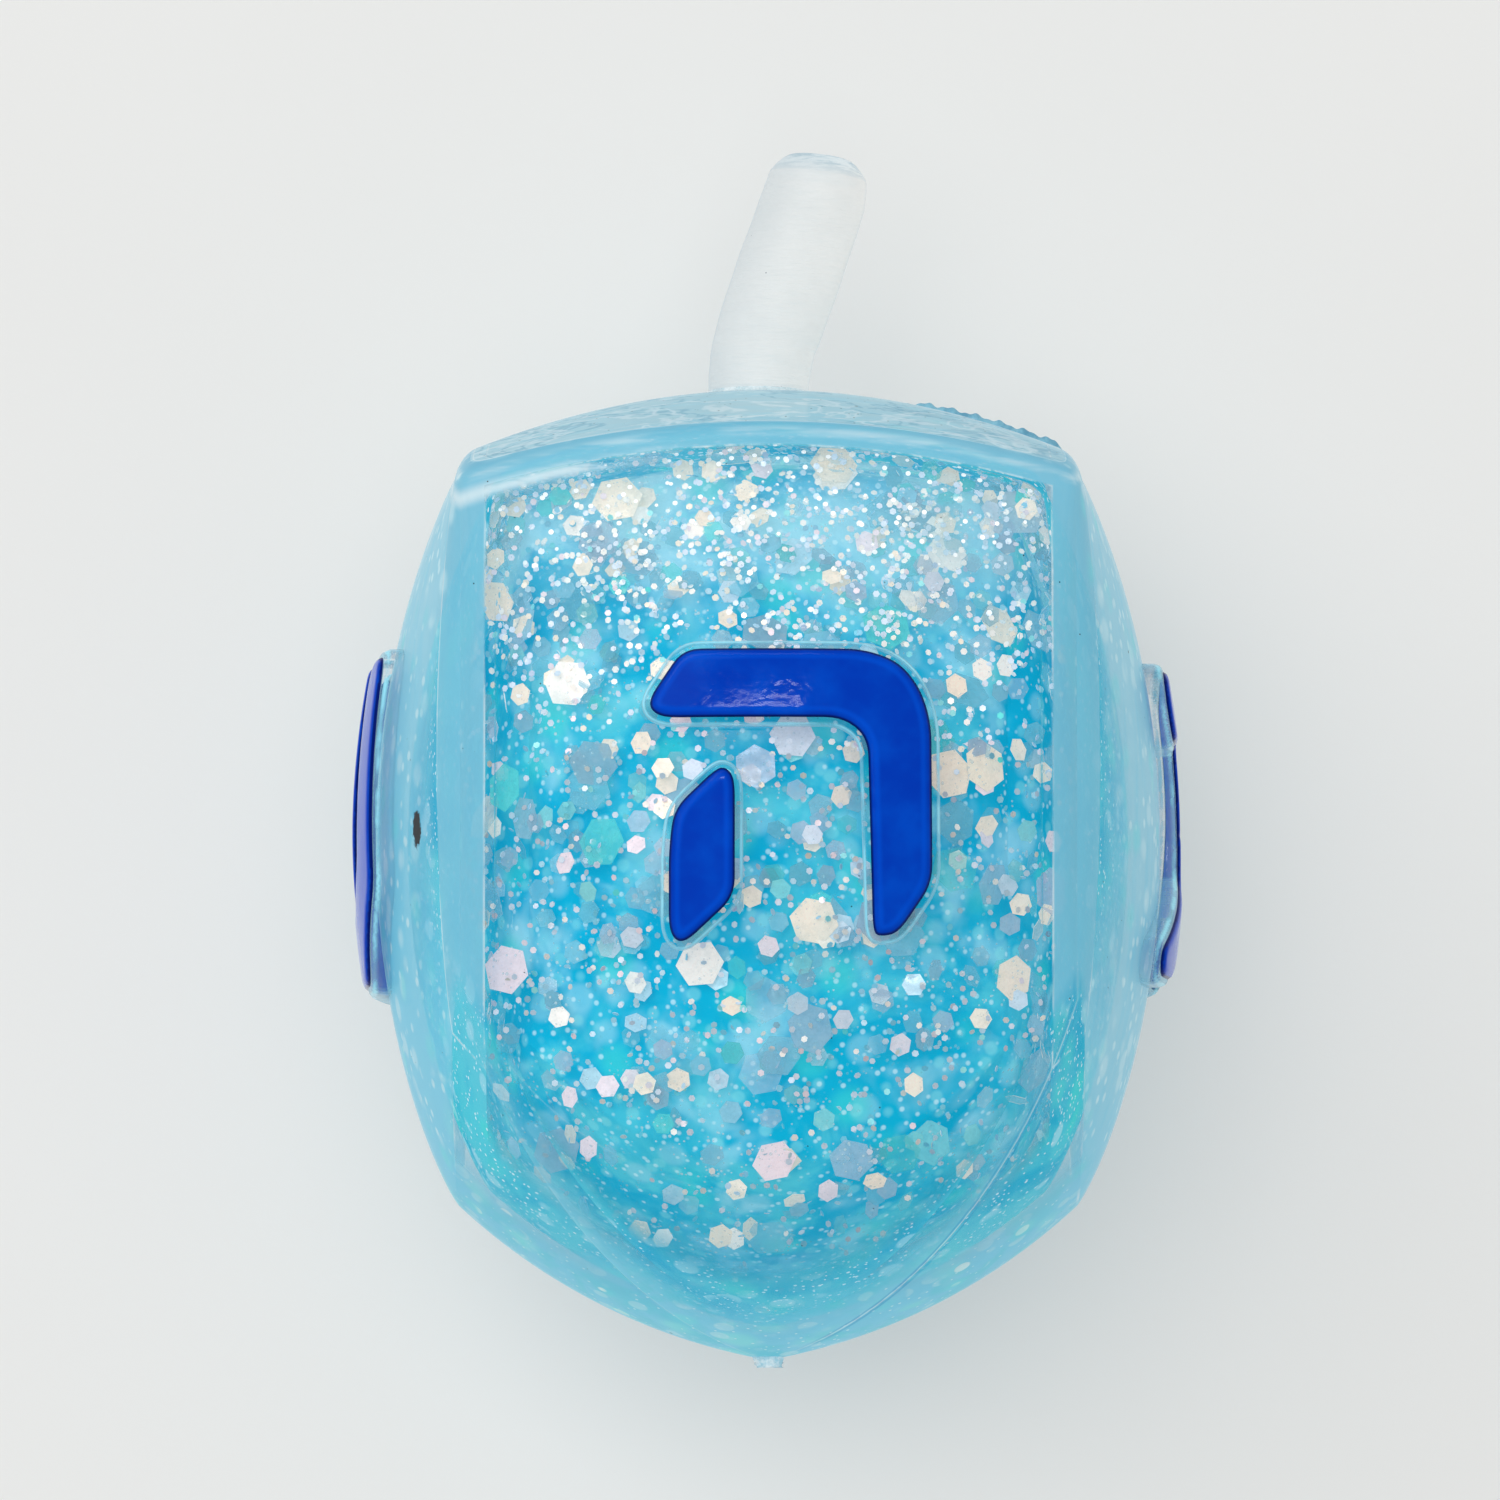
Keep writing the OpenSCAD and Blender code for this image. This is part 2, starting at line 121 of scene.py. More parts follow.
SHIN = [
    [
        (-0.52, 0.56), (-0.33, 0.56), (-0.29, -0.3), (0.16, -0.3), (0.31, -0.12), (0.31, 0.5),
        (0.36, 0.56), (0.5, 0.56), (0.53, 0.5), (0.53, -0.22), (0.27, -0.56), (-0.47, -0.56),
    ],
    [
        (-0.1, 0.56), (0.11, 0.56), (0.09, 0.05), (-0.12, -0.4), (-0.31, -0.4),
        (-0.12, 0.02),
    ],
]
LETTERS = {"hei": (HEI, FRONT), "gimel": (GIMEL, RIGHT), "nun": (NUN, BACK), "shin": (SHIN, LEFT)}

# The farthest that an outline reaches from the letter's middle, as such a share
OUTLINE_REACH = 0.56


def linear(red, green, blue):
    """The linear colour that a screen shows as these three numbers, each up to 255."""
    share = np.array([red, green, blue]) / 255
    return tuple(float(c) for c in np.where(
        share <= 0.04045, share / 12.92, ((share + 0.055) / 1.055) ** 2.4
    ))


def length(name, millimetres, description):
    """A length that the user may change."""
    return FloatProperty(
        name=name, description=description, default=millimetres * MM, min=0, precision=5,
        unit="LENGTH",
    )


def angle(name, degrees, description):
    """An angle that the user may change."""
    return FloatProperty(
        name=name, description=description, default=math.radians(degrees), subtype="ANGLE",
        unit="ROTATION",
    )


def number(name, default):
    """A number of things that the user may change."""
    return IntProperty(
        name=name, description=f"How many {name.lower()} there are", default=default, min=1
    )


def colour(name, screen, description):
    """A colour that the user may change, given as the screen shows it."""
    return FloatVectorProperty(
        name=name, description=description, default=linear(*screen), min=0, max=1,
        subtype="COLOR",
    )


class TopSizes(bpy.types.PropertyGroup):
    """Sizes of the top's body, letters and stem, which are the CAD model's."""

    face_w: length("Face width", 38.4, "Over two opposite faces at their straight edges")
    bulge: length("Face bulge", 5.3, "How far a face swells out in its middle")
    edge_r: length("Edge rounding", 1.7, "Rounding of the four upright edges")
    crown_h: length("Crown height", 60.5, "From the tip to the crown")
    dome_rise: length("Dome rise", 4.25, "From the middle of a top edge to the crown")
    corner_drop: length("Corner drop", 2.9, "From the middle of a top edge to its corners")
    fillet: length("Top rounding", 1.2, "Rounding of the top edges")
    wall: length("Wall", 2, "Thickness of the skin")
    sink: length("Back sink", 1.2, "How far the back face is pressed flat")
    ogive_r: length("Ogive radius", 38, "Radius of the pointed arch at the lower end")
    ogive_h: length("Ogive height", 21.4, "Where the upright edges run out on the ogive")
    tip_r: length("Tip radius", 1.1, "Radius of the flat at the tip")
    nub_len: length("Nub length", 0.7, "Length of the moulding nub")
    letter_w: length("Letter width", 18, "Width that the outlines are drawn to")
    letter_h: length("Letter height", 18, "Height that the outlines are drawn to")
    letter_s: length("Letter place", 33.1, "Height of a letter's middle above the tip")
    letter_round: length("Letter rounding", 1.1, "How far before a corner its rounding starts")
    pad_margin: length("Pad margin", 0.5, "How far the clear pad shows round the paint")
    pad_rise: length("Pad rise", 1.2, "Height of the clear pad above the face")
    paint_t: length("Paint thickness", 0.3, "Thickness of the paint on a pad")
    stem_d: length("Stem diameter", 6.2, "Diameter at the foot and at the cut end")
    stem_swell: length("Stem swell", 0.4, "How much thicker the stem is half way up")
    stem_offset: length("Stem offset", 0.6, "From the spin axis to the stem's foot")
    bend_r: length("First bend", 13, "Radius of the first bend, to the centre line")
    run_len: length("Straight run", 7.9, "Length between the two bends")
    back_r: length("Second bend", 10, "Radius of the second bend, to the centre line")
    bevel_h: length("Bevel height", 1.3, "Height of the bevel at the cut end")
    bevel_w: length("Bevel width", 1.1, "Width of the bevel at the cut end")
    dimple_d: length("Dimple diameter", 1.8, "Diameter of the dimple in the cut end")
    dimple_depth: length("Dimple depth", 0.4, "Depth of the dimple in the cut end")
    bend_angle: angle("First angle", 19, "Angle of the first bend, to the right")
    back_angle: angle("Second angle", 12, "Angle of the second bend, back to the left")


class TopGlitter(bpy.types.PropertyGroup):
    """How much glitter floats in the liquid, and how large it is."""

    large_d: length("Large flake", 3, "Width of a large flake over its corners")
    medium_d: length("Medium flake", 1.45, "Width of a medium flake over its corners")
    fine_d: length("Fine flake", 0.42, "Width of a fine flake over its corners")
    flake_t: length("Flake thickness", 0.03, "Thickness of a flake")
    depth: length("Glitter depth", 2.4, "How deep below the skin the flakes are made")
    veil: length("Veil depth", 2.1, "How deep below the skin the liquid hides what is in it")
    clearing: length("Clearing", 2.6, "Depth at which a flake takes on most of the liquid's tint")
    large_count: number("Large flakes", 260)
    medium_count: number("Medium flakes", 1800)
    fine_count: number("Fine flakes", 9900)


class TopColours(bpy.types.PropertyGroup):
    """Colours of the top and of the floor under it."""

    azure: colour("Azure", (14, 165, 200), "Liquid where little floats in it")
    cloud: colour("Cloud", (80, 192, 209), "Liquid that is milky with fine glitter")
    mist: colour("Mist", (156, 212, 226), "Thickest clouds in the liquid")
    mint: colour("Mint", (66, 210, 203), "Green gleam of large flakes deep down")
    skin_low: colour("Low skin", (108, 193, 219), "Skin of the pointed end over the liquid")
    skin: colour("Skin", (114, 183, 207), "Skin seen through its thickness")
    skin_deep: colour("Deep skin", (88, 164, 194), "Thickest parts of the skin")
    skin_high: colour("High skin", (148, 192, 206), "Skin of the dome")
    # Painted light, laid on more higher up and to the right
    skin_painted_light: colour("Pale skin", (140, 198, 217), "Skin where the light leaves the top")
    frost: colour("Frost", (196, 219, 227), "Frosty streaks in the skin")
    stem: colour("Stem", (226, 226, 223), "Frosted rubber of the stem")
    paint: colour("Paint", (0, 54, 174), "Paint on the letters")
    paint_rim: colour("Paint rim", (0, 22, 98), "Paint where it thins out over a pad's edge")
    floor: colour("Floor", (240, 240, 238), "Plain floor")


def in_order(*parts):
    """Rows of points, one part after another."""
    return np.concatenate(parts, axis=0)


def turns(count):
    """Angles that share out a full turn evenly."""
    return np.arange(count) / count * 2 * math.pi


def ramp(values, low, high):
    """0 at low and 1 at high, evenly between them and level beyond them."""
    return np.clip((values - low) / (high - low), 0, 1)


def grid_cells(n):
    """Quads of a square grid of n by n points."""
    at = np.arange(n * n).reshape(n, n)
    return np.stack([at[:-1, :-1], at[1:, :-1], at[1:, 1:], at[:-1, 1:]], -1).reshape(-1, 4)


def point_rows(*coordinates):
    """Coordinates that broadcast together, as one array of points."""
    return np.stack(np.broadcast_arrays(*coordinates), axis=-1)


class BodyForm:
    """The surface of the body, sunk by inset below the outside of the skin. The functions take a
    column t, from -1 to 1 across face k, and give points [a, b, s] as if that face were the
    front one."""

    def __init__(self, sizes, inset=0.0):
        self.sizes = sizes
        self.inset = inset
        self.outer_half = sizes.face_w / 2
        self.half = self.outer_half - inset
        self.crown = sizes.crown_h - inset
        self.arch_r = sizes.ogive_r - inset
        self.tip_r = sizes.tip_r if inset == 0 else CAVE_TIP_SHARE * sizes.tip_r
        corner = self.edge_point(self.outer_half, 1.0, 0.0)
        foot = (math.hypot(*corner) / (1 - SEAM_PULL), sizes.ogive_h)
        span = math.hypot(*foot)
        to_centre = math.sqrt(sizes.ogive_r**2 - span**2 / 4) / span
        self.setback = to_centre * foot[1] - foot[0] / 2
        self.ogive_s = to_centre * foot[0] + foot[1] / 2
        reach = (sizes.tip_r + self.setback) / sizes.ogive_r
        self.tip_s = self.ogive_s - sizes.ogive_r * math.sqrt(1 - reach**2)

    def edge_point(self, half, t, bulge):
        """Rounded square: the half width, with the bulge times 1 - t squared added, and t of the
        half width across, both shrunk by (1 + |t| to the p) to the -1 / p. The power p leaves a
        corner of radius edge_r."""
        p = -math.log(2) / math.log(1 - (1 - math.sqrt(0.5)) * self.sizes.edge_r / half)
        shrink = (1 + np.abs(t) ** p) ** (-1 / p)
        return shrink * (half + bulge * (1 - t * t)), shrink * half * t

    def dome_level(self, a, b):
        """Crown less dome_rise times (u + v), where u and v are the squares of a and b over the
        half width, with a term in u times v that lifts the corners back to corner_drop."""
        u, v = (a / self.outer_half) ** 2, (b / self.outer_half) ** 2
        rise, drop = self.sizes.dome_rise, self.sizes.corner_drop
        return self.crown - rise * (u + v) + (rise - drop) * u * v

    def ogive(self, t, f):
        """Arch of radius arch_r about a point past the axis, turned round the axis: f goes from
        the tip to the faces, by equal angles. The seams pull it in by t squared."""
        pull = 1 - SEAM_PULL * t * t
        rim = np.hypot(*self.edge_point(self.half, t, 0.0)) / pull
        low = math.acos((self.tip_r + self.setback) / self.arch_r)
        high = np.arccos((rim + self.setback) / self.arch_r)
        turn = low + (high - low) * f
        r = (self.arch_r * np.cos(turn) - self.setback) * pull / np.sqrt(1 + t * t)
        return point_rows(r, r * t, self.ogive_s - self.arch_r * np.sin(turn))

    def side(self, k, t, g):
        """Pillow face: g goes from the ogive to the top edge, and the face swells by bulge times
        (4 g (1 - g)) to the BULGE_POWER. The back face swells no further than the table."""
        low = self.ogive(t, 1.0)[..., 2]
        high = self.dome_level(*self.edge_point(self.half, t, 0.0)) - self.sizes.fillet
        swell = self.sizes.bulge * (4 * g * (1 - g)) ** BULGE_POWER
        flat = (self.sizes.bulge - self.sizes.sink) / np.maximum(1 - t * t, LEAST_SHARE)
        bulge = np.where(k == BACK, np.minimum(swell, flat), swell)
        return point_rows(*self.edge_point(self.half, t, bulge), low + (high - low) * g)

    def top_edge(self, t, turn):
        """Quarter round between a face, at turn 0, and the dome, at a quarter turn."""
        a, b = self.edge_point(self.half, t, 0.0)
        keep = 1 - self.sizes.fillet * (1 - np.cos(turn)) / self.half
        a, b = a * keep, b * keep
        return point_rows(a, b, self.dome_level(a, b) - self.sizes.fillet * (1 - np.sin(turn)))

    def dome(self, k, t, f):
        """Shallow dome, f of the way from its edge to the pole under the stem, in true a and b."""
        a, b = self.edge_point(self.half, t, 0.0)
        keep = 1 - self.sizes.fillet / self.half
        edge = turned(k, point_rows(a * keep, b * keep, np.zeros_like(a)))
        a = edge[..., 0] * (1 - f)
        b = edge[..., 1] * (1 - f) - self.sizes.stem_offset * f
        return point_rows(a, b, self.dome_level(a, b))


def turned(k, points):
    """Points of face k, turned by k quarters about the spin axis to where that face is."""
    cos, sin = np.array([1, 0, -1, 0])[k], np.array([0, 1, 0, -1])[k]
    a, b, s = points[..., 0], points[..., 1], points[..., 2]
    return point_rows(a * cos - b * sin, a * sin + b * cos, s)


class Laying:
    """Moves [a, b, s] to where the CAD model lies, which its skin's box gives."""

    def __init__(self, sizes):
        low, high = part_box("shell")
        self.mid_s = BodyForm(sizes).tip_s - low[1]
        self.axis_z = high[2] - sizes.face_w / 2 - sizes.bulge

    def __call__(self, points):
        """x is b, y is s less mid_s, and z is a plus axis_z."""
        return point_rows(points[..., 1], points[..., 2] - self.mid_s, points[..., 0] + self.axis_z)


def body_rings(form, columns, rows):
    """Rings of the closed body from the tip to the pole: ogive, faces, top edges and dome, with
    rows counted for each. Returns true points, the points as their own face sees them, and the
    columns t."""
    k = np.repeat(np.arange(4), 2 * columns)[None, :]
    t = np.tile(np.sin(np.arange(-columns, columns) / columns * math.pi / 2), 4)[None, :]
    even = [np.arange(n)[:, None] / n for n in rows]
    local = [
        form.ogive(t, even[0]),
        form.side(k, t, (1 - np.cos(even[1] * math.pi)) / 2),
        form.top_edge(t, even[2] * math.pi / 2),
    ]
    dome = form.dome(k, t, even[3])
    own = in_order(*local, dome)
    return in_order(*[turned(k, part) for part in local], dome), own, t


def ring_faces(rows, columns):
    """Quads between rings that close on themselves."""
    at = np.arange(rows * columns).reshape(rows, columns)
    after = np.roll(at, -1, axis=1)
    return np.stack([at[:-1], after[:-1], after[1:], at[1:]], axis=-1).reshape(-1, 4)


def fan(ring, centre, outward):
    """Triangles from a ring to its centre."""
    after = np.roll(ring, -1)
    order = (ring, after) if outward else (after, ring)
    return np.stack([*order, np.full(len(ring), centre)], axis=-1)


def ring_piece(name, rings):
    """A solid piece from its rings, closed by a centre point at both ends."""
    rows, columns = rings.shape[:2]
    points = in_order(rings.reshape(-1, 3), rings[:1].mean(1), rings[-1:].mean(1))
    ring = np.arange(columns)
    caps = in_order(
        fan(ring, rows * columns, False),
        fan(ring + (rows - 1) * columns, rows * columns + 1, True),
    )
    return make_mesh(name, points, [ring_faces(rows, columns), caps])


def outward_first(points, faces):
    """The faces, turned over where the solid that they close is inside out: its volume is the sum
    of the tetrahedra from the origin to each triangle."""
    volume = 0.0
    for part in faces:
        for last in range(2, part.shape[1]):
            p, q, r = points[part[:, 0]], points[part[:, last - 1]], points[part[:, last]]
            volume += np.einsum("ij,ij->i", p, np.cross(q, r)).sum()
    return faces if volume > 0 else [part[:, ::-1] for part in faces]


def make_mesh(name, points, faces, smooth=True):
    """A mesh object from arrays: points, and faces with one array for each count of corners."""
    faces = outward_first(points, faces)
    counts = np.concatenate([np.full(len(part), part.shape[1]) for part in faces])
    corners = np.concatenate([part.ravel() for part in faces])
    mesh = bpy.data.meshes.new(name)
    mesh.vertices.add(len(points))
    mesh.vertices.foreach_set("co", points.astype(np.float32).ravel())
    mesh.loops.add(len(corners))
    mesh.loops.foreach_set("vertex_index", corners.astype(np.int32))
    mesh.polygons.add(len(counts))
    mesh.polygons.foreach_set("loop_start", (np.cumsum(counts) - counts).astype(np.int32))
    mesh.polygons.foreach_set("use_smooth", np.full(len(counts), smooth))
    mesh.update(calc_edges=True)
    if mesh.validate():
        raise RuntimeError(f"{name} has faulty faces")
    piece = bpy.data.objects.new(name, mesh)
    bpy.context.scene.collection.objects.link(piece)
    return piece


def set_values(piece, name, values, ends=()):
    """One number for each point of a piece, which its finish can read. The ends are the numbers
    of the two centre points that close its rings."""
    data = piece.data.attributes.new(name, "FLOAT", "POINT").data
    data.foreach_set("value", np.concatenate([values.ravel(), ends]).astype(np.float32))


def set_colours(piece, name, colours):
    """One colour for each point of a piece, which its finish can read."""
    opaque = np.concatenate([colours, np.ones((len(colours), 1))], axis=1)
    data = piece.data.attributes.new(name, "FLOAT_COLOR", "POINT").data
    data.foreach_set("color", opaque.astype(np.float32).ravel())


def dress(piece, finish, slot, *nodes):
    """Gives a piece its finish and its body, and hides the CAD nodes that it stands for. The slot is
    not used.
    """
    piece.data.materials.append(finish)
    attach(piece, BODY)
    if nodes:
        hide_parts(*nodes)
    return piece


class Wire:
    """An output of a finish's nodes. Arithmetic on it adds the Math nodes that work it out."""

    def __init__(self, finish, socket):
        self.finish, self.socket = finish, socket

    def maths(self, operation, *values):
        return self.finish.node(
            "ShaderNodeMath", {"operation": operation}, dict(enumerate(values))
        )

    def __add__(self, other):
        return self.maths("ADD", self, other)

    def __sub__(self, other):
        return self.maths("SUBTRACT", self, other)

    def __rsub__(self, other):
        return self.maths("SUBTRACT", other, self)

    def __mul__(self, other):
        return self.maths("MULTIPLY", self, other)

    __radd__, __rmul__ = __add__, __mul__

    def larger(self, *others):
        """The largest of this and the others."""
        most = self
        for other in others:
            most = most.maths("MAXIMUM", most, other)
        return most

    def size(self):
        return self.maths("ABSOLUTE", self)


class Finish:
    """A material made of nodes."""

    def __init__(self, name):
        self.material = bpy.data.materials.new(name)
        self.material.use_nodes = True
        self.tree = self.material.node_tree
        self.tree.nodes.clear()

    def node(self, kind, settings=None, values=None, out=0):
        """Adds a node: its settings first, then the values or wires of its sockets."""
        node = self.tree.nodes.new(kind)
        for key, value in (settings or {}).items():
            setattr(node, key, value)
        for key, value in (values or {}).items():
            self.feed(node.inputs[key], value)
        return Wire(self, node.outputs[out]) if node.outputs else None

    def feed(self, socket, value):
        """Gives a socket a wire, a colour or a number."""
        if isinstance(value, Wire):
            self.tree.links.new(value.socket, socket)
        elif socket.type == "RGBA":
            socket.default_value = (*value[:3], 1)
        else:
            socket.default_value = value

    def attribute(self, name, out="Fac"):
        return self.node("ShaderNodeAttribute", {"attribute_name": name}, out=out)

    def attributes(self, *names):
        """Several of the numbers that a piece's points carry."""
        return [self.attribute(name) for name in names]

    def place(self, stretch=(1, 1, 1)):
        """Object coordinates, stretched along each axis."""
        spot = self.node("ShaderNodeTexCoord", out="Object")
        if tuple(stretch) == (1, 1, 1):
            return spot
        return self.node("ShaderNodeMapping", None, {"Vector": spot, "Scale": stretch})

    def across(self):
        """Object coordinate to the right."""
        return self.node("ShaderNodeSeparateXYZ", None, {0: self.place()})

    def noise(self, cell, detail=2.0, rough=0.5, stretch=(1, 1, 1), warp=0.0):
        """Cloudy pattern from 0 to 1, with patches about cell millimetres across."""
        return self.node("ShaderNodeTexNoise", None, {
            "Vector": self.place(stretch), "Scale": 1 / (cell * MM), "Detail": detail,
            "Roughness": rough, "Distortion": warp,
        }, out="Fac")

    def dots(self, cell, radius, soft=0.25):
        """Round dots, one to a cell: 1 inside the radius and 0 outside it, in millimetres."""
        spread = self.node(
            "ShaderNodeTexVoronoi", None, {"Vector": self.place(), "Scale": 1 / (cell * MM)},
            out="Distance",
        )
        return self.fade(spread, radius / cell * (1 + soft), radius / cell * (1 - soft))

    def fade(self, value, low, high, to_low=0.0, to_high=1.0):
        """Smooth step from to_low where the value is low to to_high where it is high."""
        return self.node(
            "ShaderNodeMapRange", {"interpolation_type": "SMOOTHSTEP"},
            {0: value, 1: low, 2: high, 3: to_low, 4: to_high},
        )

    def ridge(self, value, centre, width):
        """1 at the centre, falling to 0 at the width to both sides of it."""
        return self.fade((value - centre).size(), width, 0.0)

    def blend(self, share, first, second):
        """Colour that goes from the first to the second as the share goes from 0 to 1."""
        return self.node(
            "ShaderNodeMix", {"data_type": "RGBA", "clamp_factor": True},
            {0: share, 6: first, 7: second}, out=2,
        )

    def layers(self, tone, *coats):
        """The tone with coats laid over it in turn, each given as its share and its tone."""
        for share, over in coats:
            tone = self.blend(share, tone, over)
        return tone

    def surface(self, tone, rough, gloss, glow, dark=0.0, **values):
        """Principled shader of one tone, which also gives off some of it as a painted glow, standing
        in for the light that clear and milky things scatter inside them. The share dark takes it out
        of the base colour. Any other socket's name is written with _ for a space."""
        named = {key.replace("_", " "): value for key, value in values.items()}
        base = self.blend(dark, tone, (0, 0, 0)) if dark else tone
        return self.node("ShaderNodeBsdfPrincipled", None, {
            "Base Color": base, "Roughness": rough, "Specular IOR Level": gloss,
            "Emission Color": tone, "Emission Strength": glow, **named,
        })

    def near(self, place, radius, stretch):
        """1 within a radius of a place, with a ragged edge, and 0 outside it. The radius is in
        millimetres and is measured in stretched coordinates."""
        radius = radius * MM
        spot = [coordinate * share for coordinate, share in zip(place, stretch)]
        away = self.node(
            "ShaderNodeVectorMath", {"operation": "DISTANCE"},
            {0: self.place(stretch), 1: spot}, out="Value",
        )
        return self.fade(away + self.noise(0.4) * radius * 0.8, radius * 1.3, radius)

    def bump(self, height, distance, strength):
        """Normal of a surface that rises by the distance, in millimetres, where height is 1."""
        return self.node("ShaderNodeBump", None, {
            "Height": height, "Distance": distance * MM, "Strength": strength,
        })

    def turned_away(self, low, high):
        """From 0 where a surface is seen square on to 1 where it is seen at a grazing angle."""
        facing = self.node("ShaderNodeLayerWeight", None, {"Blend": 0.5}, out="Facing")
        return self.fade(facing, low, high)

    def through(self, solid_share, shader):
        """Clear where the share is 0, and the shader where it is 1."""
        clear = self.node("ShaderNodeBsdfTransparent")
        return self.node("ShaderNodeMixShader", None, {0: solid_share, 1: clear, 2: shader})

    def glazed(self, shader, rough, ior, share):
        """A gloss over the shader, stronger at a grazing angle."""
        gloss = self.node("ShaderNodeBsdfGlossy", None, {"Roughness": rough})
        edge = self.node("ShaderNodeFresnel", None, {"IOR": ior}) * share
        return self.node("ShaderNodeMixShader", None, {0: edge, 1: shader, 2: gloss})

    def done(self, shader):
        self.node("ShaderNodeOutputMaterial", None, {"Surface": shader})
        return self.material


def skin_finish(colours):
    """Clear rubber: hazy where it is seen through its thickness, which the gaps to the cavity's
    window say in millimetres, and nearly clear over the liquid."""
    f = Finish("clear_skin")
    side, sill, seam, arch = f.attributes("side_gap", "sill_gap", "seam_gap", "arch_gap")
    ogive, dome, low = f.attributes("ogive_share", "dome_share", "low_share")
    edge = side.larger(sill)
    left = f.fade(f.across(), -3 * MM, -10 * MM)
    right = f.fade(f.across(), 1 * MM, 5 * MM)
    clouds = f.noise(6, 3.0)
    streaks = f.noise(1.2, 3.0, 0.6, stretch=(1, 0.12, 1))
    level_streaks = f.noise(1.6, 3.0, 0.65, stretch=(0.15, 1, 1))
    # The second is a painted highlight: a pale line where the skin is seen nearly edge on
    grazing, painted_brim_highlight = f.turned_away(0.42, 0.74), f.turned_away(0.9, 0.99)
    band = f.fade(edge, -0.1, 0.12) * (1 - low * 0.92)
    flecks = (f.dots(2.7, 0.75, 0.4) * 0.7).larger(f.dots(1.3, 0.3, 0.4))
    ghosts = flecks * f.fade(clouds, 0.36, 0.48) * grazing * (1 - low * 0.85) * 0.85
    gleams = f.dots(3.3, 0.9, 0.5) * f.fade(clouds, 0.56, 0.44) * grazing * 0.5

    # Lines along the window's edge and the seams, a painted highlight along the arch, and what the
    # mould left in the skin
    hem = f.ridge(sill, -0.3, 0.85) * f.fade(level_streaks, 0.24, 0.44) * left
    frost = f.ridge(sill, 0.9, 0.5) * f.fade(level_streaks, 0.35, 0.58) * 0.8
    line = f.ridge(edge, 0.0, 0.12) * f.fade(streaks, 0.4, 0.58)
    rim = f.ridge(side, 1.75, 0.3) * f.fade(streaks, 0.3, 0.6)
    seam_line = f.ridge(seam, 0.0, 0.26) * low * (right * 0.7 + 0.3)
    seam_shade = f.ridge(seam, 0.5, 0.34) * low * right * f.fade(clouds, 0.3, 0.5)
    # Painted highlight: a pale streak along the arch at the foot of the face
    painted_arch_highlight = f.ridge(arch, 0.0, 0.16) * f.fade(clouds, 0.42, 0.6)
    bubbles = f.ridge(seam, 0.15, 0.4) * f.dots(1.1, 0.42) * low * right
    stain = f.near(STAIN, 0.42, (0.5, 0.3, 0.5)) * 1.6
    specks = f.dots(1.7, 0.045, 0.1).larger(f.dots(5.3, 0.11, 0.1), stain)

    # How much of it can't be seen through
    haze = f.fade(clouds, 0.45, 0.8, 0.0, 0.04) + ogive * 0.15 + grazing * 0.76
    haze = haze + f.fade(seam, 6, 0) * low * 0.3
    marks = (frost * 0.62).larger(
        hem * 0.85, line * 0.7, rim * 0.6, seam_line * 0.7, painted_arch_highlight * 0.14, bubbles * 0.8,
        specks, seam_shade * 0.6,
    )
    haze = haze.larger(band * 0.86, marks)

    # Tone of the pointed end
    # Painted light: the skin is painted paler higher up and to the right
    pale = f.attribute("painted_light_share") * f.fade(streaks, 0.3, 0.6, 0.55, 1.0)
    blotches = f.fade(f.noise(3.4, 4.0, 0.6, warp=0.5), 0.45, 0.6)
    blurs = f.dots(3.7, 1.3, 0.5) * f.fade(clouds, 0.42, 0.52)
    discs = f.dots(2.3, 0.66, 0.12) * f.fade(f.noise(4), 0.44, 0.5)
    bright_discs = f.dots(3.3, 0.56, 0.12) * f.fade(f.noise(5), 0.52, 0.56)
    low_tone = f.layers(
        colours.skin_low, (pale, colours.skin_painted_light), (blotches * low * 0.6, colours.cloud),
        (blurs * low * 0.6, linear(120, 214, 214)),
        (f.dots(0.7, 0.1) * low * 0.7, linear(196, 228, 234)),
        (discs * low * 0.6, linear(160, 212, 224)),
        (bright_discs * low * 0.75, linear(226, 238, 230)),
    )

    # Tone of the whole
    # Pale marks take the frost tone; among them are the painted highlights along the arch and at the
    # brim
    light = (frost * 0.8).larger(hem, line, rim * 0.55, seam_line * 0.7, painted_arch_highlight, painted_brim_highlight * 0.45)
    veins = f.ridge(f.noise(2.4, 4.0, 0.6, stretch=(0.3, 1, 0.3), warp=0.5), 0.5, 0.03)
    curls = f.ridge(f.noise(3, 4.0, 0.6, stretch=(0.35, 1, 0.35), warp=0.4), 0.56, 0.03)
    dust = f.dots(0.9, 0.07, 0.1) * dome
    tone = f.layers(
        colours.skin, (ogive.larger(grazing) * (1 - band), low_tone),
        (ghosts, linear(186, 222, 230)), (gleams, linear(92, 208, 214)),
        (dome * f.fade(level_streaks, 0.35, 0.6, 0.5, 1.0), colours.skin_high),
        (f.ridge(sill, 1.9, 1.0) * 0.7, colours.skin_deep),
        (bubbles.larger(seam_shade * 0.8), linear(52, 152, 196)), (light, colours.frost),
        (veins * dome * 0.75, linear(96, 160, 186)), (curls * dome * 0.7, linear(196, 218, 226)),
        (specks.larger(dust * 0.8), linear(10, 18, 24)),
    )
    milky = f.surface(
        tone, rough=0.42, gloss=0.15, glow=0.46, dark=0.3,
        Normal=f.bump(f.noise(5, 2.0), 0.12, 0.6),
    )
    return f.done(f.glazed(f.through(haze, milky), 0.12, 1.3, 0.14))


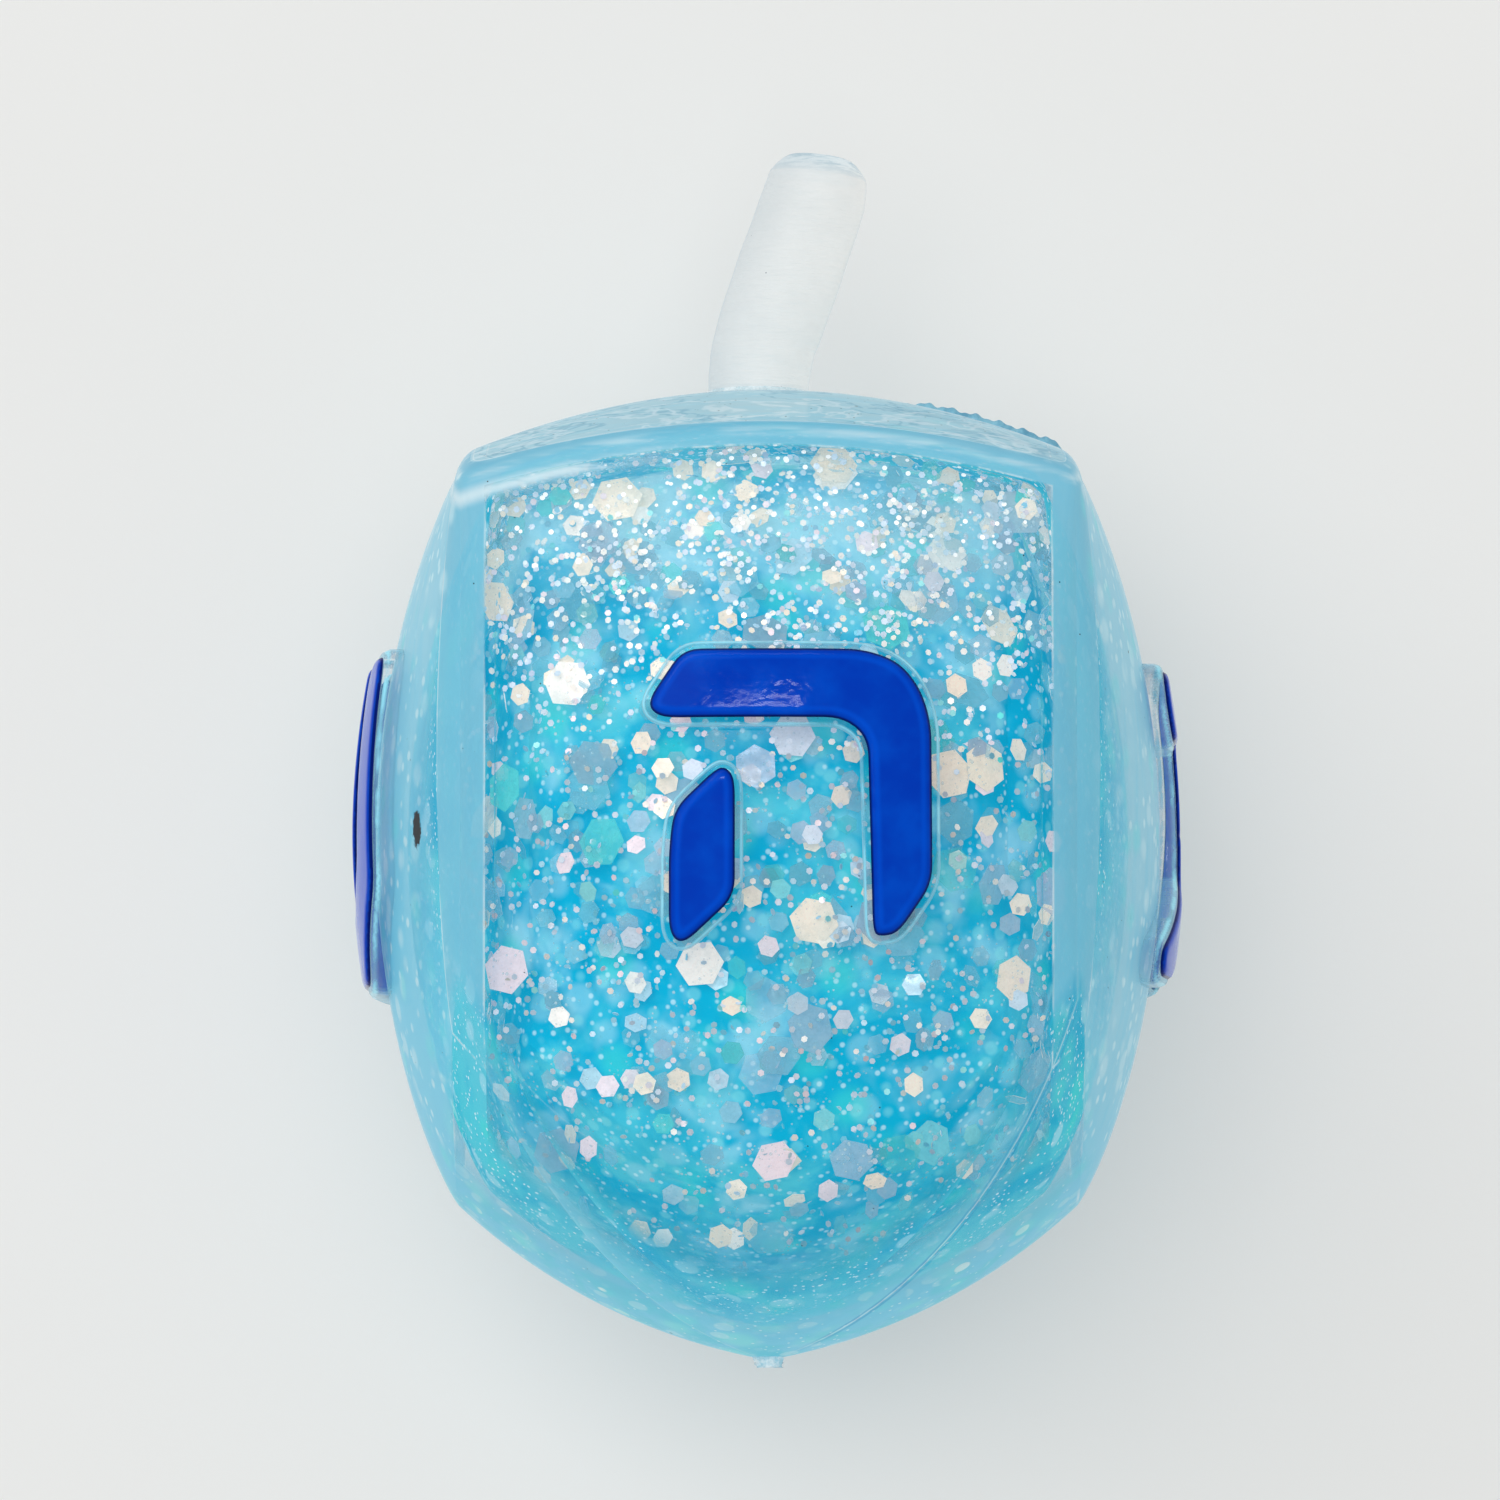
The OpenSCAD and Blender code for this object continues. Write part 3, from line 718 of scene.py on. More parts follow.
def liquid_finish(colours):
    """Tinted water with fine glitter dust: mostly see-through, with milky clouds and dots."""
    f = Finish("tinted_liquid")
    upper, tip = f.attributes("upper_share", "tip_share")
    clouds = f.noise(7, 4.0, 0.6, warp=0.4)
    dust = f.dots(0.62, 0.11).larger(f.dots(0.47, 0.07))
    gate = f.fade(f.noise(4.5, 3.0, 0.6), 0.4, 0.6)
    grazing = f.turned_away(0.44, 0.64).larger(tip)
    haze = f.fade(clouds, 0.5, 0.75, 0.0, 0.22) + upper * f.fade(clouds, 0.3, 0.6, 0.06, 0.16)
    ghosts = f.dots(2.6, 0.8, 0.15) * f.fade(f.noise(5), 0.42, 0.5)
    mint = f.dots(3.7, 1.3, 0.5) * f.fade(f.noise(8), 0.45, 0.55)
    shallow = f.layers(
        colours.azure, (f.fade(clouds, 0.35, 0.6), colours.cloud), (ghosts * 0.75, colours.mist),
        (mint * 0.5, colours.mint), (dust, linear(190, 226, 234)),
    )
    # Sparks: white dots near the stem end, fine glitter with a painted glint that also glows
    sparks = f.dots(0.8, 0.17, 0.12) * f.fade(f.noise(2.6, 2.0), 0.38, 0.46) * upper
    # Paler towards the stem end, where upper_share is high
    tone = f.layers(
        colours.cloud, (upper, colours.mist), (grazing, shallow),
        (dust * gate, linear(206, 228, 234)), (sparks, linear(252, 248, 246)),
    )
    # Painted glow: the liquid gives off light only where it is seen at a grazing angle and at the
    # sparks
    lit = f.blend(grazing.larger(sparks), (0, 0, 0), tone)
    milky = f.surface(tone, rough=0.5, gloss=0, glow=0.36, Emission_Color=lit)
    return f.done(f.through(haze.larger(dust * gate * 0.6, grazing, sparks * 0.9), milky))


def depth_finish(colours):
    """The depth of the liquid: azure patches between milky clouds, and blurred glitter."""
    f = Finish("liquid_depth")
    clouds = f.noise(9, 5.0, 0.62, warp=0.6)
    patches = f.fade(f.noise(5, 3.0, 0.55, warp=0.3), 0.52, 0.74)
    # Paler towards the stem end
    stem_end_paling = f.attribute("upper_share") * f.fade(clouds, 0.36, 0.6, 0.05, 0.7)
    tone = f.layers(
        colours.azure, (f.fade(clouds, 0.44, 0.66), colours.cloud), (patches * 0.7, colours.mist),
        (stem_end_paling, linear(176, 216, 228)), (f.dots(3.4, 0.9, 0.3) * 0.35, colours.mist),
        (f.dots(4.4, 1.2, 0.5) * 0.45, colours.mint),
        (f.dots(1.6, 0.42, 0.3) * 0.35, linear(140, 218, 222)),
        (f.dots(0.75, 0.16, 0.4) * 0.5, linear(205, 232, 238)),
    )
    return f.done(f.surface(tone, rough=0.6, gloss=0, glow=0.34))


def glitter_finish(name, clear):
    """Pearly film: each flake's own tint, with a sheen and faint specks. Of the clear kind, each
    flake lets as much through as it says itself."""
    f = Finish(name)
    grazing = f.turned_away(0.3, 0.8)
    tone = f.layers(
        f.attribute("flake_tint", "Color"),
        (f.dots(0.34, 0.05, 0.4) * 0.35, linear(120, 150, 168)),
        (grazing * 0.8, linear(70, 184, 214)),
    )
    film = f.surface(
        tone, rough=f.fade(f.noise(0.8), 0.3, 0.7, 0.22, 0.5), gloss=0.2, glow=0.3,
        Metallic=0.08, Normal=f.bump(f.noise(0.5, 2.0), 0.03, 0.5),
    )
    if not clear:
        return f.done(film)
    mottle = f.fade(f.noise(0.7, 3.0, 0.6), 0.3, 0.7, 0.8, 1.1)
    return f.done(f.through(f.attribute("flake_solid") * mottle * (1 - grazing * 0.7), film))


def pad_finish(colours):
    """Clear rubber of the raised letters, which shows by its gloss and its thicker rim."""
    f = Finish("clear_pad")
    clouds = f.noise(2.5, 3.0)
    line = f.ridge(f.attribute("rim_gap"), 0.12, 0.14) * f.fade(clouds, 0.35, 0.6, 0.3, 0.75)
    grazing = f.turned_away(0.3, 0.9)
    haze = line + f.fade(clouds, 0.4, 0.7) * 0.06 + grazing * 0.6
    tone = f.layers(
        colours.skin, (grazing, linear(170, 214, 228)), (line, linear(150, 222, 238))
    )
    dents = f.bump(clouds, 0.05, 0.5)
    milky = f.surface(tone, rough=0.3, gloss=0.1, glow=0.24, Normal=dents)
    return f.done(f.glazed(f.through(haze, milky), 0.08, 1.25, 0.4))


def paint_finish(colours):
    """Glossy blue paint, with a painted lilac sheen at a grazing angle, darker where it thins out
    over the rim, and with small dents."""
    f = Finish("blue_paint")
    rim = f.attribute("rim_gap")
    clouds = f.noise(3, 3.0, 0.55)
    tone = f.layers(
        colours.paint, (f.fade(clouds, 0.35, 0.75) * 0.5, linear(0, 82, 204)),
        (f.ridge(rim, 0.5, 0.3) * 0.4, linear(0, 84, 214)),
        # Painted sheen: a pale lilac tone where the paint is seen at a grazing angle
        (f.turned_away(0.5, 0.82) * 0.85, linear(98, 118, 208)),
        (f.fade(rim, 0.2, 0.06), colours.paint_rim),
    )
    rough = f.fade(f.noise(1.1, 4.0, 0.7), 0.4, 0.7, 0.06, 0.13)
    dents = f.bump(clouds * 0.8 + f.noise(0.5, 2.0) * 0.12, 0.1, 0.8)
    return f.done(f.surface(tone, rough=rough, gloss=0.04, glow=0.12, Normal=dents))


def stem_finish(colours):
    """Frosted rubber: milky and a little see-through, with fine rings and a bluish cut end. It is
    painted darker on the side towards the key lamp and painted lighter on the side away from it."""
    f = Finish("stem_rubber")
    near, end = f.attributes("painted_shade_side_share", "end_share")
    rings = f.noise(0.3, 4.0, 0.65, stretch=(0.16, 1, 0.16))
    clouds = f.noise(4, 3.0, 0.55)
    cut = f.blend(f.fade(rings, 0.4, 0.62), linear(118, 166, 186), linear(206, 222, 228))
    edge = f.node("ShaderNodeLayerWeight", None, {"Blend": 0.4}, out="Facing")
    tone = f.layers(
        colours.stem, (f.fade(clouds, 0.35, 0.7) * 0.6, linear(212, 214, 212)),
        (f.fade(rings, 0.45, 0.65) * 0.16, linear(200, 207, 208)), (end * 0.9, cut),
        (f.dots(1.5, 0.05, 0.1), linear(60, 70, 76)),
        (f.fade(edge, 0.55, 0.95) * 0.55, linear(178, 192, 199)),
        # Painted shade on the side towards the key lamp, and painted light on the side away from it
        (near * 0.56, linear(186, 197, 203)), ((1 - near) * 0.26, linear(250, 250, 248)),
    )
    ripples = f.bump(rings * 0.8 + clouds * 0.4, 0.14, 0.8)
    milky = f.surface(tone, rough=0.5, gloss=0.2, glow=0.53, dark=0.35, Normal=ripples)
    return f.done(f.through(f.fade(edge, 0.0, 0.9, 0.74, 0.95), milky))


def clear_finish(name, tint, other, haze, rough):
    """Clear rubber of the small parts, of two tints."""
    f = Finish(name)
    clouds = f.noise(0.8, 3.0, 0.6)
    tone = f.blend(f.fade(clouds, 0.4, 0.65), tint, other)
    dents = f.bump(clouds, 0.08, 0.7)
    milky = f.surface(tone, rough=rough, gloss=0.2, glow=0.25, Normal=dents)
    milky = f.through(f.fade(clouds, 0.3, 0.7, haze, haze + 0.25), milky)
    return f.done(f.glazed(milky, 0.1, 1.3, 0.3))


def floor_finish(colours):
    """Plain pale paper with a barely visible grain."""
    f = Finish("floor_paper")
    patches = f.fade(f.noise(40, 2.0), 0.3, 0.7)
    tone = f.blend(patches * 0.3, colours.floor, linear(237, 237, 235))
    grain = f.bump(f.noise(1.5, 4.0, 0.6), 0.05, 0.25)
    return f.done(f.surface(tone, rough=0.9, gloss=0.1, glow=0.36, dark=0.38, Normal=grain))


def polygon_gap(points, corners):
    """Distance from each point to the outline of a polygon, negative inside it: the least over
    its sides, with the sign from how many sides lie to the right of the point."""
    start, end = corners, np.roll(corners, -1, axis=0)
    along, away = end - start, points[:, None] - start
    share = np.clip((away * along).sum(-1) / (along**2).sum(-1), 0, 1)[..., None]
    gap = np.linalg.norm(away - share * along, axis=-1).min(1)
    y = points[:, None, 1]
    crosses = (start[:, 1] > y) != (end[:, 1] > y)
    safe = np.where(along[:, 1] == 0, 1, along[:, 1])
    at_x = start[:, 0] + (y - start[:, 1]) / safe * along[:, 0]
    inside = (crosses & (points[:, None, 0] < at_x)).sum(1) % 2 == 1
    return np.where(inside, -gap, gap)


def rounded(corners, reach, steps=6):
    """A polygon whose corners are quadratic curves: each starts the reach before its corner and
    ends the reach after it, or nearly half way along a side that is too short for that."""
    t = np.linspace(0, 1, steps)[None, :, None]
    curve = 2 * t * (1 - t) * corners[:, None]
    for way, weight in ((1, (1 - t) ** 2), (-1, t**2)):
        side = np.roll(corners, way, axis=0) - corners
        share = np.minimum(reach / np.linalg.norm(side, axis=1), 0.48)[:, None]
        curve = curve + weight * (corners + side * share)[:, None]
    return curve.reshape(-1, 2)


def letter_grid(strokes, sizes, margin, cell):
    """Fine grid over a letter's flat outline, widened by margin and with round corners: points
    [x, y], their distance to the outline, negative inside, and the cells inside it. The points on
    its border are moved onto the outline, down the slope of that distance."""
    reach = max(sizes.letter_w, sizes.letter_h) * OUTLINE_REACH + 2 * margin + 2 * cell
    line = np.arange(-reach, reach + cell, cell)
    points = np.stack(np.meshgrid(line, line, indexing="ij"), -1).reshape(-1, 2)
    scale = np.array([sizes.letter_w, sizes.letter_h])
    outlines = [rounded(np.array(stroke) * scale, sizes.letter_round) for stroke in strokes]

    def gap_at(where):
        return np.min([polygon_gap(where, outline) for outline in outlines], axis=0) - margin

    cells = grid_cells(len(line))
    cells = cells[gap_at(points[cells].mean(1)) < 0]
    border = np.unique(border_edges(cells))
    step = cell * 0.1
    for _ in range(3):
        here = points[border]
        gap = gap_at(here)
        slope = np.stack([
            gap_at(here + [step, 0]) - gap_at(here - [step, 0]),
            gap_at(here + [0, step]) - gap_at(here - [0, step]),
        ], -1) / (2 * step)
        steep = np.maximum((slope**2).sum(1), 0.25)
        points[border] = here - (gap / steep)[:, None] * slope
    used, cells = np.unique(cells, return_inverse=True)
    cells = cells.reshape(-1, 4)
    points = points[used]
    gaps = gap_at(points)
    gaps[np.searchsorted(used, border)] = 0
    return points, np.minimum(gaps, 0), cells


def border_edges(cells):
    """Edges [from, to] that only one cell has, in that cell's order."""
    edges = np.stack([cells, np.roll(cells, -1, axis=1)], -1).reshape(-1, 2)
    _, first, count = np.unique(np.sort(edges, axis=1), axis=0, return_index=True, return_counts=True)
    return edges[first[count == 1]]


def on_face(form, laid, k, flat, lift):
    """Flat points [x, y] of a letter on face k, lifted above its swell: x over the half width is
    the column t, and y gives the share g of the way up the face."""
    t = flat[:, 0] / form.half
    s = form.sizes.letter_s + flat[:, 1]
    low = form.ogive(t, 1.0)[..., 2]
    high = form.dome_level(*form.edge_point(form.half, t, 0.0)) - form.sizes.fillet
    points = form.side(np.full(len(t), k), t, (s - low) / (high - low))
    points[:, 0] += lift
    return laid(turned(np.full(len(t), k), points))


def letter_solid(form, laid, strokes, k, margin, low, high, rim, cell):
    """Solid letter on face k, from a flat underside at low to a top at high, whose rim is a
    quarter ellipse as wide and as high as rim says. Returns its points, its faces and how far each
    point lies inside the outline."""
    flat, gaps, cells = letter_grid(strokes, form.sizes, margin, cell)
    run = 1 - np.minimum(-gaps, rim[0]) / rim[0]
    top = high - rim[1] * (1 - np.sqrt(1 - run**2))
    count = len(flat)
    points = in_order(
        on_face(form, laid, k, flat, top), on_face(form, laid, k, flat, np.full(count, low))
    )
    border = border_edges(cells)
    walls = np.stack([border[:, 1], border[:, 0], border[:, 0] + count, border[:, 1] + count], -1)
    faces = in_order(cells, cells[:, ::-1] + count, walls)
    return points, [faces], np.concatenate([-gaps, -gaps])


def tube(centres, leans, radii, sides):
    """Rings about a centre line [b, s] in the plane of b and s: at each ring, the radius times the
    cosine across the line and times the sine along a."""
    turn = turns(sides)
    across, out = radii[..., None] * np.cos(turn), radii[..., None] * np.sin(turn)
    lean = leans[:, None]
    return point_rows(
        out, centres[:, :1] + across * np.cos(lean), centres[:, 1:] - across * np.sin(lean)
    )


def stem_line(sizes, rows):
    """Centre line of the stem, as places [b, s] and leans: a bend to the right, a straight run
    and a bend back. Each bend is an arc of a circle."""
    bend, back = sizes.bend_angle, sizes.back_angle
    first = np.linspace(0, bend, rows)
    run = np.linspace(0, sizes.run_len, rows)[1:]
    last = bend - np.linspace(0, back, rows)[1:]
    ahead = np.array([math.sin(bend), math.cos(bend)])
    arc = np.stack([
        sizes.bend_r * (1 - np.cos(first)) - sizes.stem_offset,
        sizes.crown_h + sizes.bend_r * np.sin(first),
    ], -1)
    centre = arc[-1] + sizes.run_len * ahead + sizes.back_r * np.array([-ahead[1], ahead[0]])
    places = in_order(
        arc, arc[-1] + run[:, None] * ahead,
        centre + sizes.back_r * np.stack([np.cos(last), -np.sin(last)], -1),
    )
    return places, np.concatenate([first, np.full(len(run), bend), last])


def mesh_triangles(rings):
    """The quads between rings as triangles: three arrays of corners."""
    quads = ring_faces(*rings.shape[:2])
    points = rings.reshape(-1, 3)
    tri = in_order(quads[:, [0, 1, 2]], quads[:, [0, 2, 3]])
    return points[tri[:, 0]], points[tri[:, 1]], points[tri[:, 2]]


# Share of the glitter that is left where the surface turns away from all four faces
TURNED_SHARE = 0.06


def scatter(form, laid, count, rng, crowding):
    """Random places on a body's surface, even by area but for the crowding, and fewer where the
    surface turns away from all four faces. Returns the places and the outward normals, laid."""
    rings = body_rings(form, 16, (18, 26, 2, 8))[0]
    p, q, r = (laid(corner) for corner in mesh_triangles(rings))
    normal = np.cross(q - p, r - p)
    area = np.linalg.norm(normal, axis=1) + LEAST_SHARE**3
    normal /= area[:, None]
    facing = np.abs(normal[:, [0, 2]]).max(1)
    weight = area * (TURNED_SHARE + (1 - TURNED_SHARE) * facing) * crowding((p + q + r) / 3)
    pick = rng.choice(len(p), count, p=weight / weight.sum())
    u, v = rng.random((2, count, 1))
    u, v = np.where(u + v > 1, 1 - u, u), np.where(u + v > 1, 1 - v, v)
    place = p[pick] + u * (q - p)[pick] + v * (r - p)[pick]
    normal = normal[pick]
    middle = laid(np.array([0, 0, form.crown / 2]))
    side = np.sign(((place - middle) * normal).sum(1))[:, None]
    return place, normal * side


def flake_prisms(centres, normals, spins, radii, thick):
    """Six-sided prisms: corners at the radius times the cosine and sine of sixths of a turn along
    two directions square to the normal, half a thickness above and below the centre."""
    helper = np.where(np.abs(normals[:, 2:]) < 0.9, [[0.0, 0.0, 1.0]], [[1.0, 0.0, 0.0]])
    u = np.cross(normals, helper)
    u /= np.linalg.norm(u, axis=1)[:, None]
    v = np.cross(normals, u)
    turn = spins[:, None] + turns(6)
    rim = radii[:, None, None] * (
        np.cos(turn)[..., None] * u[:, None] + np.sin(turn)[..., None] * v[:, None]
    )
    half = normals[:, None] * thick / 2
    points = np.concatenate([centres[:, None] + rim - half, centres[:, None] + rim + half], 1)
    first = np.arange(len(centres))[:, None] * 12
    ring = np.arange(6)
    after = np.roll(ring, -1)
    caps = in_order(first + ring[::-1], first + ring + 6)
    walls = (first[..., None] + np.stack([ring, after, after + 6, ring + 6], -1)).reshape(-1, 4)
    return points.reshape(-1, 3), [caps, walls]


# Tints of the glitter, given as the screen shows them. The first WARM_TINTS of them are warm.
FLAKE_TINTS = np.array([linear(*tint) for tint in (
    (255, 232, 212), (255, 241, 232), (247, 222, 226), (228, 228, 238), (184, 194, 214),
    (146, 200, 222), (100, 220, 214), (160, 226, 224),
)])
WARM_TINTS = 3

# For each size of flake: how many more there are near the stem, how far they tilt, how fast they
# thin out with depth, between which shades a dull one is, and the share of each tint
FLAKE_SORTS = {
    "large": (0.2, 0.2, 1.5, (0.7, 0.94), (0.08, 0.02, 0.04, 0.08, 0.32, 0.26, 0.1, 0.1)),
    "medium": (0.6, 0.26, 1.5, (0.7, 0.94), (0.2, 0.04, 0.08, 0.08, 0.25, 0.18, 0.06, 0.11)),
    "fine": (2.4, 0.35, 3.6, (0.5, 0.86), (0.04, 0.2, 0.12, 0.54, 0.02, 0.04, 0.01, 0.03)),
}

# The drifts that glitter gathers in: three plane waves, one to a column, in radians to the metre
# along x, y and z, and how much each adds
DRIFT_WAVES = np.array([[720, -420, 150], [260, 610, -780], [120, 200, 300]])
DRIFT_PHASES = np.array([0.5, 2.6, 4.2])
DRIFT = 0.27

# How much of its slope along the spin axis a flake keeps where the skin turns towards the tip
AXIS_SHARE = 0.3


def flake_tints(rng, size, height, depth, clearing, cloud):
    """Tint of each flake, and how much of it can't be seen through. The deeper it lies the more
    it takes on the liquid's tint, warm ones half as much. More are warm near the stem, and none
    below half the clearing. Fine flakes high up get brighter shades, a painted highlight. The
    palest flakes let nearly nothing through."""
    dull, tint_shares = FLAKE_SORTS[size][3:]
    count = len(height)
    stem_end, warmed, painted_highlight_height, pale = 0.68, 0.28, 0.62, 0.56
    pick = rng.choice(len(FLAKE_TINTS), count, p=tint_shares)
    pick = np.where((height > stem_end) & (rng.random(count) < warmed), pick % 2, pick)
    sunk = (pick < WARM_TINTS) & (depth > 0.5 * clearing)
    pick = np.where(sunk, pick + WARM_TINTS, pick)
    warm = pick < WARM_TINTS
    drowned = ((1 - np.exp(-depth / clearing)) * np.where(warm, 0.5, 1))[:, None]
    water = np.array(cloud) * rng.uniform(0.85, 1.1, (count, 1))
    # Fine flakes above that height get brighter shades, a painted highlight; larger ones are bright
    # where they are warm
    bright = np.where(size == "fine", height > painted_highlight_height, warm)
    shade = rng.uniform(np.where(bright, 0.86, dull[0]), np.where(bright, 0.97, dull[1]))
    tints = FLAKE_TINTS[pick] * shade[:, None] * (1 - drowned) + water * drowned
    return tints, np.where(tints.mean(1) > pale, 0.95, rng.uniform(0.2, 0.7, count))


def glitter_piece(form, laid, glitter, colours, size, seed):
    """Flakes of one size, spread under the skin, more of them towards the stem. A flake lies
    nearly along the skin, over the pointed end along the spin axis, and tilts a little."""
    rng = np.random.default_rng(seed)
    count, width = getattr(glitter, f"{size}_count"), getattr(glitter, f"{size}_d")
    upper, tilt, thinning = FLAKE_SORTS[size][:3]

    def height_at(points):
        return (points[:, 1] + laid.mid_s) / form.crown

    def crowding(points):
        height = height_at(points)
        share = 0.5 + 0.5 * ramp(height, 0.1, 0.46) + upper * ramp(height, 0.66, 0.8)
        return share * (1 + DRIFT * np.sin(points @ DRIFT_WAVES + DRIFT_PHASES).sum(1))

    place, normal = scatter(form, laid, count, rng, crowding)
    keep = np.ones_like(normal)
    keep[normal[:, 1] < 0, 1] = AXIS_SHARE
    leaned = normal * keep + rng.normal(0, tilt, (count, 3))
    leaned /= np.linalg.norm(leaned, axis=1)[:, None]
    radius = width / 2 * rng.uniform(0.9, 1.08, count)
    lean = np.sqrt(np.clip(1 - (leaned * normal).sum(1) ** 2, 0, 1))
    depth = radius * lean + 0.1 * MM + (glitter.depth - radius) * rng.random(count) ** thinning
    place = place - normal * depth[:, None]
    spin = rng.uniform(0, math.pi, count)
    points, faces = flake_prisms(place, leaned, spin, radius, glitter.flake_t)
    piece = make_mesh(f"{size}_glitter", points, faces, smooth=False)
    tints, solid = flake_tints(
        rng, size, height_at(place), depth, glitter.clearing, colours.cloud
    )
    set_colours(piece, "flake_tint", np.repeat(tints, 12, axis=0))
    set_values(piece, "flake_solid", np.repeat(solid, 12))
    return piece


class PieceMaker:
    """What the operators share: the sizes, glitter and colours that the scene holds."""

    bl_options = {"REGISTER", "UNDO"}

    def settings(self, context):
        scene = context.scene
        return scene.top_sizes, scene.top_glitter, scene.top_colours


class TOP_OT_skin(PieceMaker, bpy.types.Operator):
    """Adds the clear moulded skin"""

    bl_idname = "glitter_top.skin"
    bl_label = "Skin"

    def execute(self, context):
        sizes, _, colours = self.settings(context)
        laid, form, rows = Laying(sizes), BodyForm(sizes), (64, 84, 7, 26)
        rings, own, t = body_rings(form, 40, rows)
        piece = ring_piece("clear_skin", laid(rings))
        self.set_gaps(piece, form, rings, own, t, sum(rows[:3]))
        dress(piece, skin_finish(colours), "clear_skin", "shell")
        return {"FINISHED"}

    def set_gaps(self, piece, form, rings, own, t, dome):
        """What the finish reads at each point; dome is the first ring of the dome. In millimetres:
        how far the point lies to the side of the cavity's window and above it, where on the dome
        the window is the cavity's plan, and how far from a seam and from the arch at the foot of
        its face. As shares: how near it is to the tip, whether it is on the dome, whether it is
        below the arch, and how much painted light it gets, more higher up and to the right."""
        window = form.half - form.sizes.wall
        a, b, s = own[..., 0], own[..., 1], own[..., 2]
        cavity = BodyForm(form.sizes, form.sizes.wall)
        side, sill = np.abs(b) - window, s - cavity.dome_level(np.full_like(b, window), b)
        side[dome:] = np.abs(rings[dome:, :, :2]).max(-1) - window
        sill[dome:] = -MM
        on_dome = np.zeros_like(side)
        on_dome[dome:] = 1
        seam = (1 - np.abs(t)) * np.hypot(a, b)
        above = s - form.ogive(t, 1.0)[..., 2]
        arch = np.abs(above) + np.where(np.abs(t) > 0.85, MM, 0)
        across, up = rings[..., 1] / form.half, rings[..., 2] / MM
        for name, values, ends in (
            ("side_gap", side / MM, (-10.0, -10.0)), ("sill_gap", sill / MM, (-10.0, -1.0)),
            ("seam_gap", seam / MM, (1.0, 10.0)), ("arch_gap", arch / MM, (10.0, 10.0)),
            ("ogive_share", ramp(s, 12 * MM, 2 * MM), (1.0, 0.0)),
            ("dome_share", on_dome, (0.0, 1.0)),
            ("low_share", ramp(above, 2 * MM, -1 * MM), (1.0, 0.0)),
            ("painted_light_share", ramp(up, 16 - 8 * across, 34 - 12 * across), (0.0, 1.0)),
        ):
            set_values(piece, name, values, ends)


class TOP_OT_liquid(PieceMaker, bpy.types.Operator):
    """Adds the tinted liquid: its surface under the skin and its depth"""

    bl_idname = "glitter_top.liquid"
    bl_label = "Liquid"

    def execute(self, context):
        sizes, glitter, colours = self.settings(context)
        laid = Laying(sizes)
        for name, inset, finish, nodes in (
            ("tinted_liquid", sizes.wall, liquid_finish, ["liquid_fill"]),
            ("liquid_depth", sizes.wall + glitter.veil, depth_finish, []),
        ):
            rings = body_rings(BodyForm(sizes, inset), 20, (28, 40, 3, 12))[0]
            piece = ring_piece(name, laid(rings))
            s = rings[..., 2]
            set_values(piece, "upper_share", ramp(s / sizes.crown_h, 0.7, 0.82), (0, 1))
            set_values(piece, "tip_share", ramp(s, 6.5 * MM, 3.5 * MM), (1, 0))
            dress(piece, finish(colours), "tinted_liquid", *nodes)
        return {"FINISHED"}


class TOP_OT_glitter(PieceMaker, bpy.types.Operator):
    """Adds the glitter of all three sizes"""

    bl_idname = "glitter_top.glitter"
    bl_label = "Glitter"

    def execute(self, context):
        sizes, glitter, colours = self.settings(context)
        laid, form = Laying(sizes), BodyForm(sizes, sizes.wall)
        clear, solid = glitter_finish("clear_film", True), glitter_finish("glitter_film", False)
        for seed, size in enumerate(("large", "medium", "fine"), start=1):
            piece = glitter_piece(form, laid, glitter, colours, size, seed)
            dress(piece, solid if size == "fine" else clear, "glitter_film", f"glitter_{size}")
        return {"FINISHED"}


class TOP_OT_letters(PieceMaker, bpy.types.Operator):
    """Adds the raised clear letters and the paint on them"""

    bl_idname = "glitter_top.letters"
    bl_label = "Letters"

    def execute(self, context):
        sizes, _, colours = self.settings(context)
        laid, form = Laying(sizes), BodyForm(sizes)
        clear, blue = pad_finish(colours), paint_finish(colours)
        cell, overlap = 0.16 * MM, 0.05 * MM
        pad_rim, paint_rim = (0.45 * MM, 0.45 * MM), (0.6 * MM, sizes.paint_t)
        for name, (strokes, k) in LETTERS.items():
            for part, margin, low, high, rim, finish, slot in (
                ("pad", sizes.pad_margin, -overlap, sizes.pad_rise, pad_rim, clear, "clear_skin"),
                ("paint", 0.0, sizes.pad_rise - overlap, sizes.pad_rise + sizes.paint_t,
                 paint_rim, blue, "blue_paint"),
            ):
                points, faces, gaps = letter_solid(
                    form, laid, strokes, k, margin, low, high, rim, cell
                )
                piece = make_mesh(f"{name}_{part}", points, faces)
                set_values(piece, "rim_gap", gaps / MM)
                dress(piece, finish, slot, f"{part}_{name}")
        return {"FINISHED"}


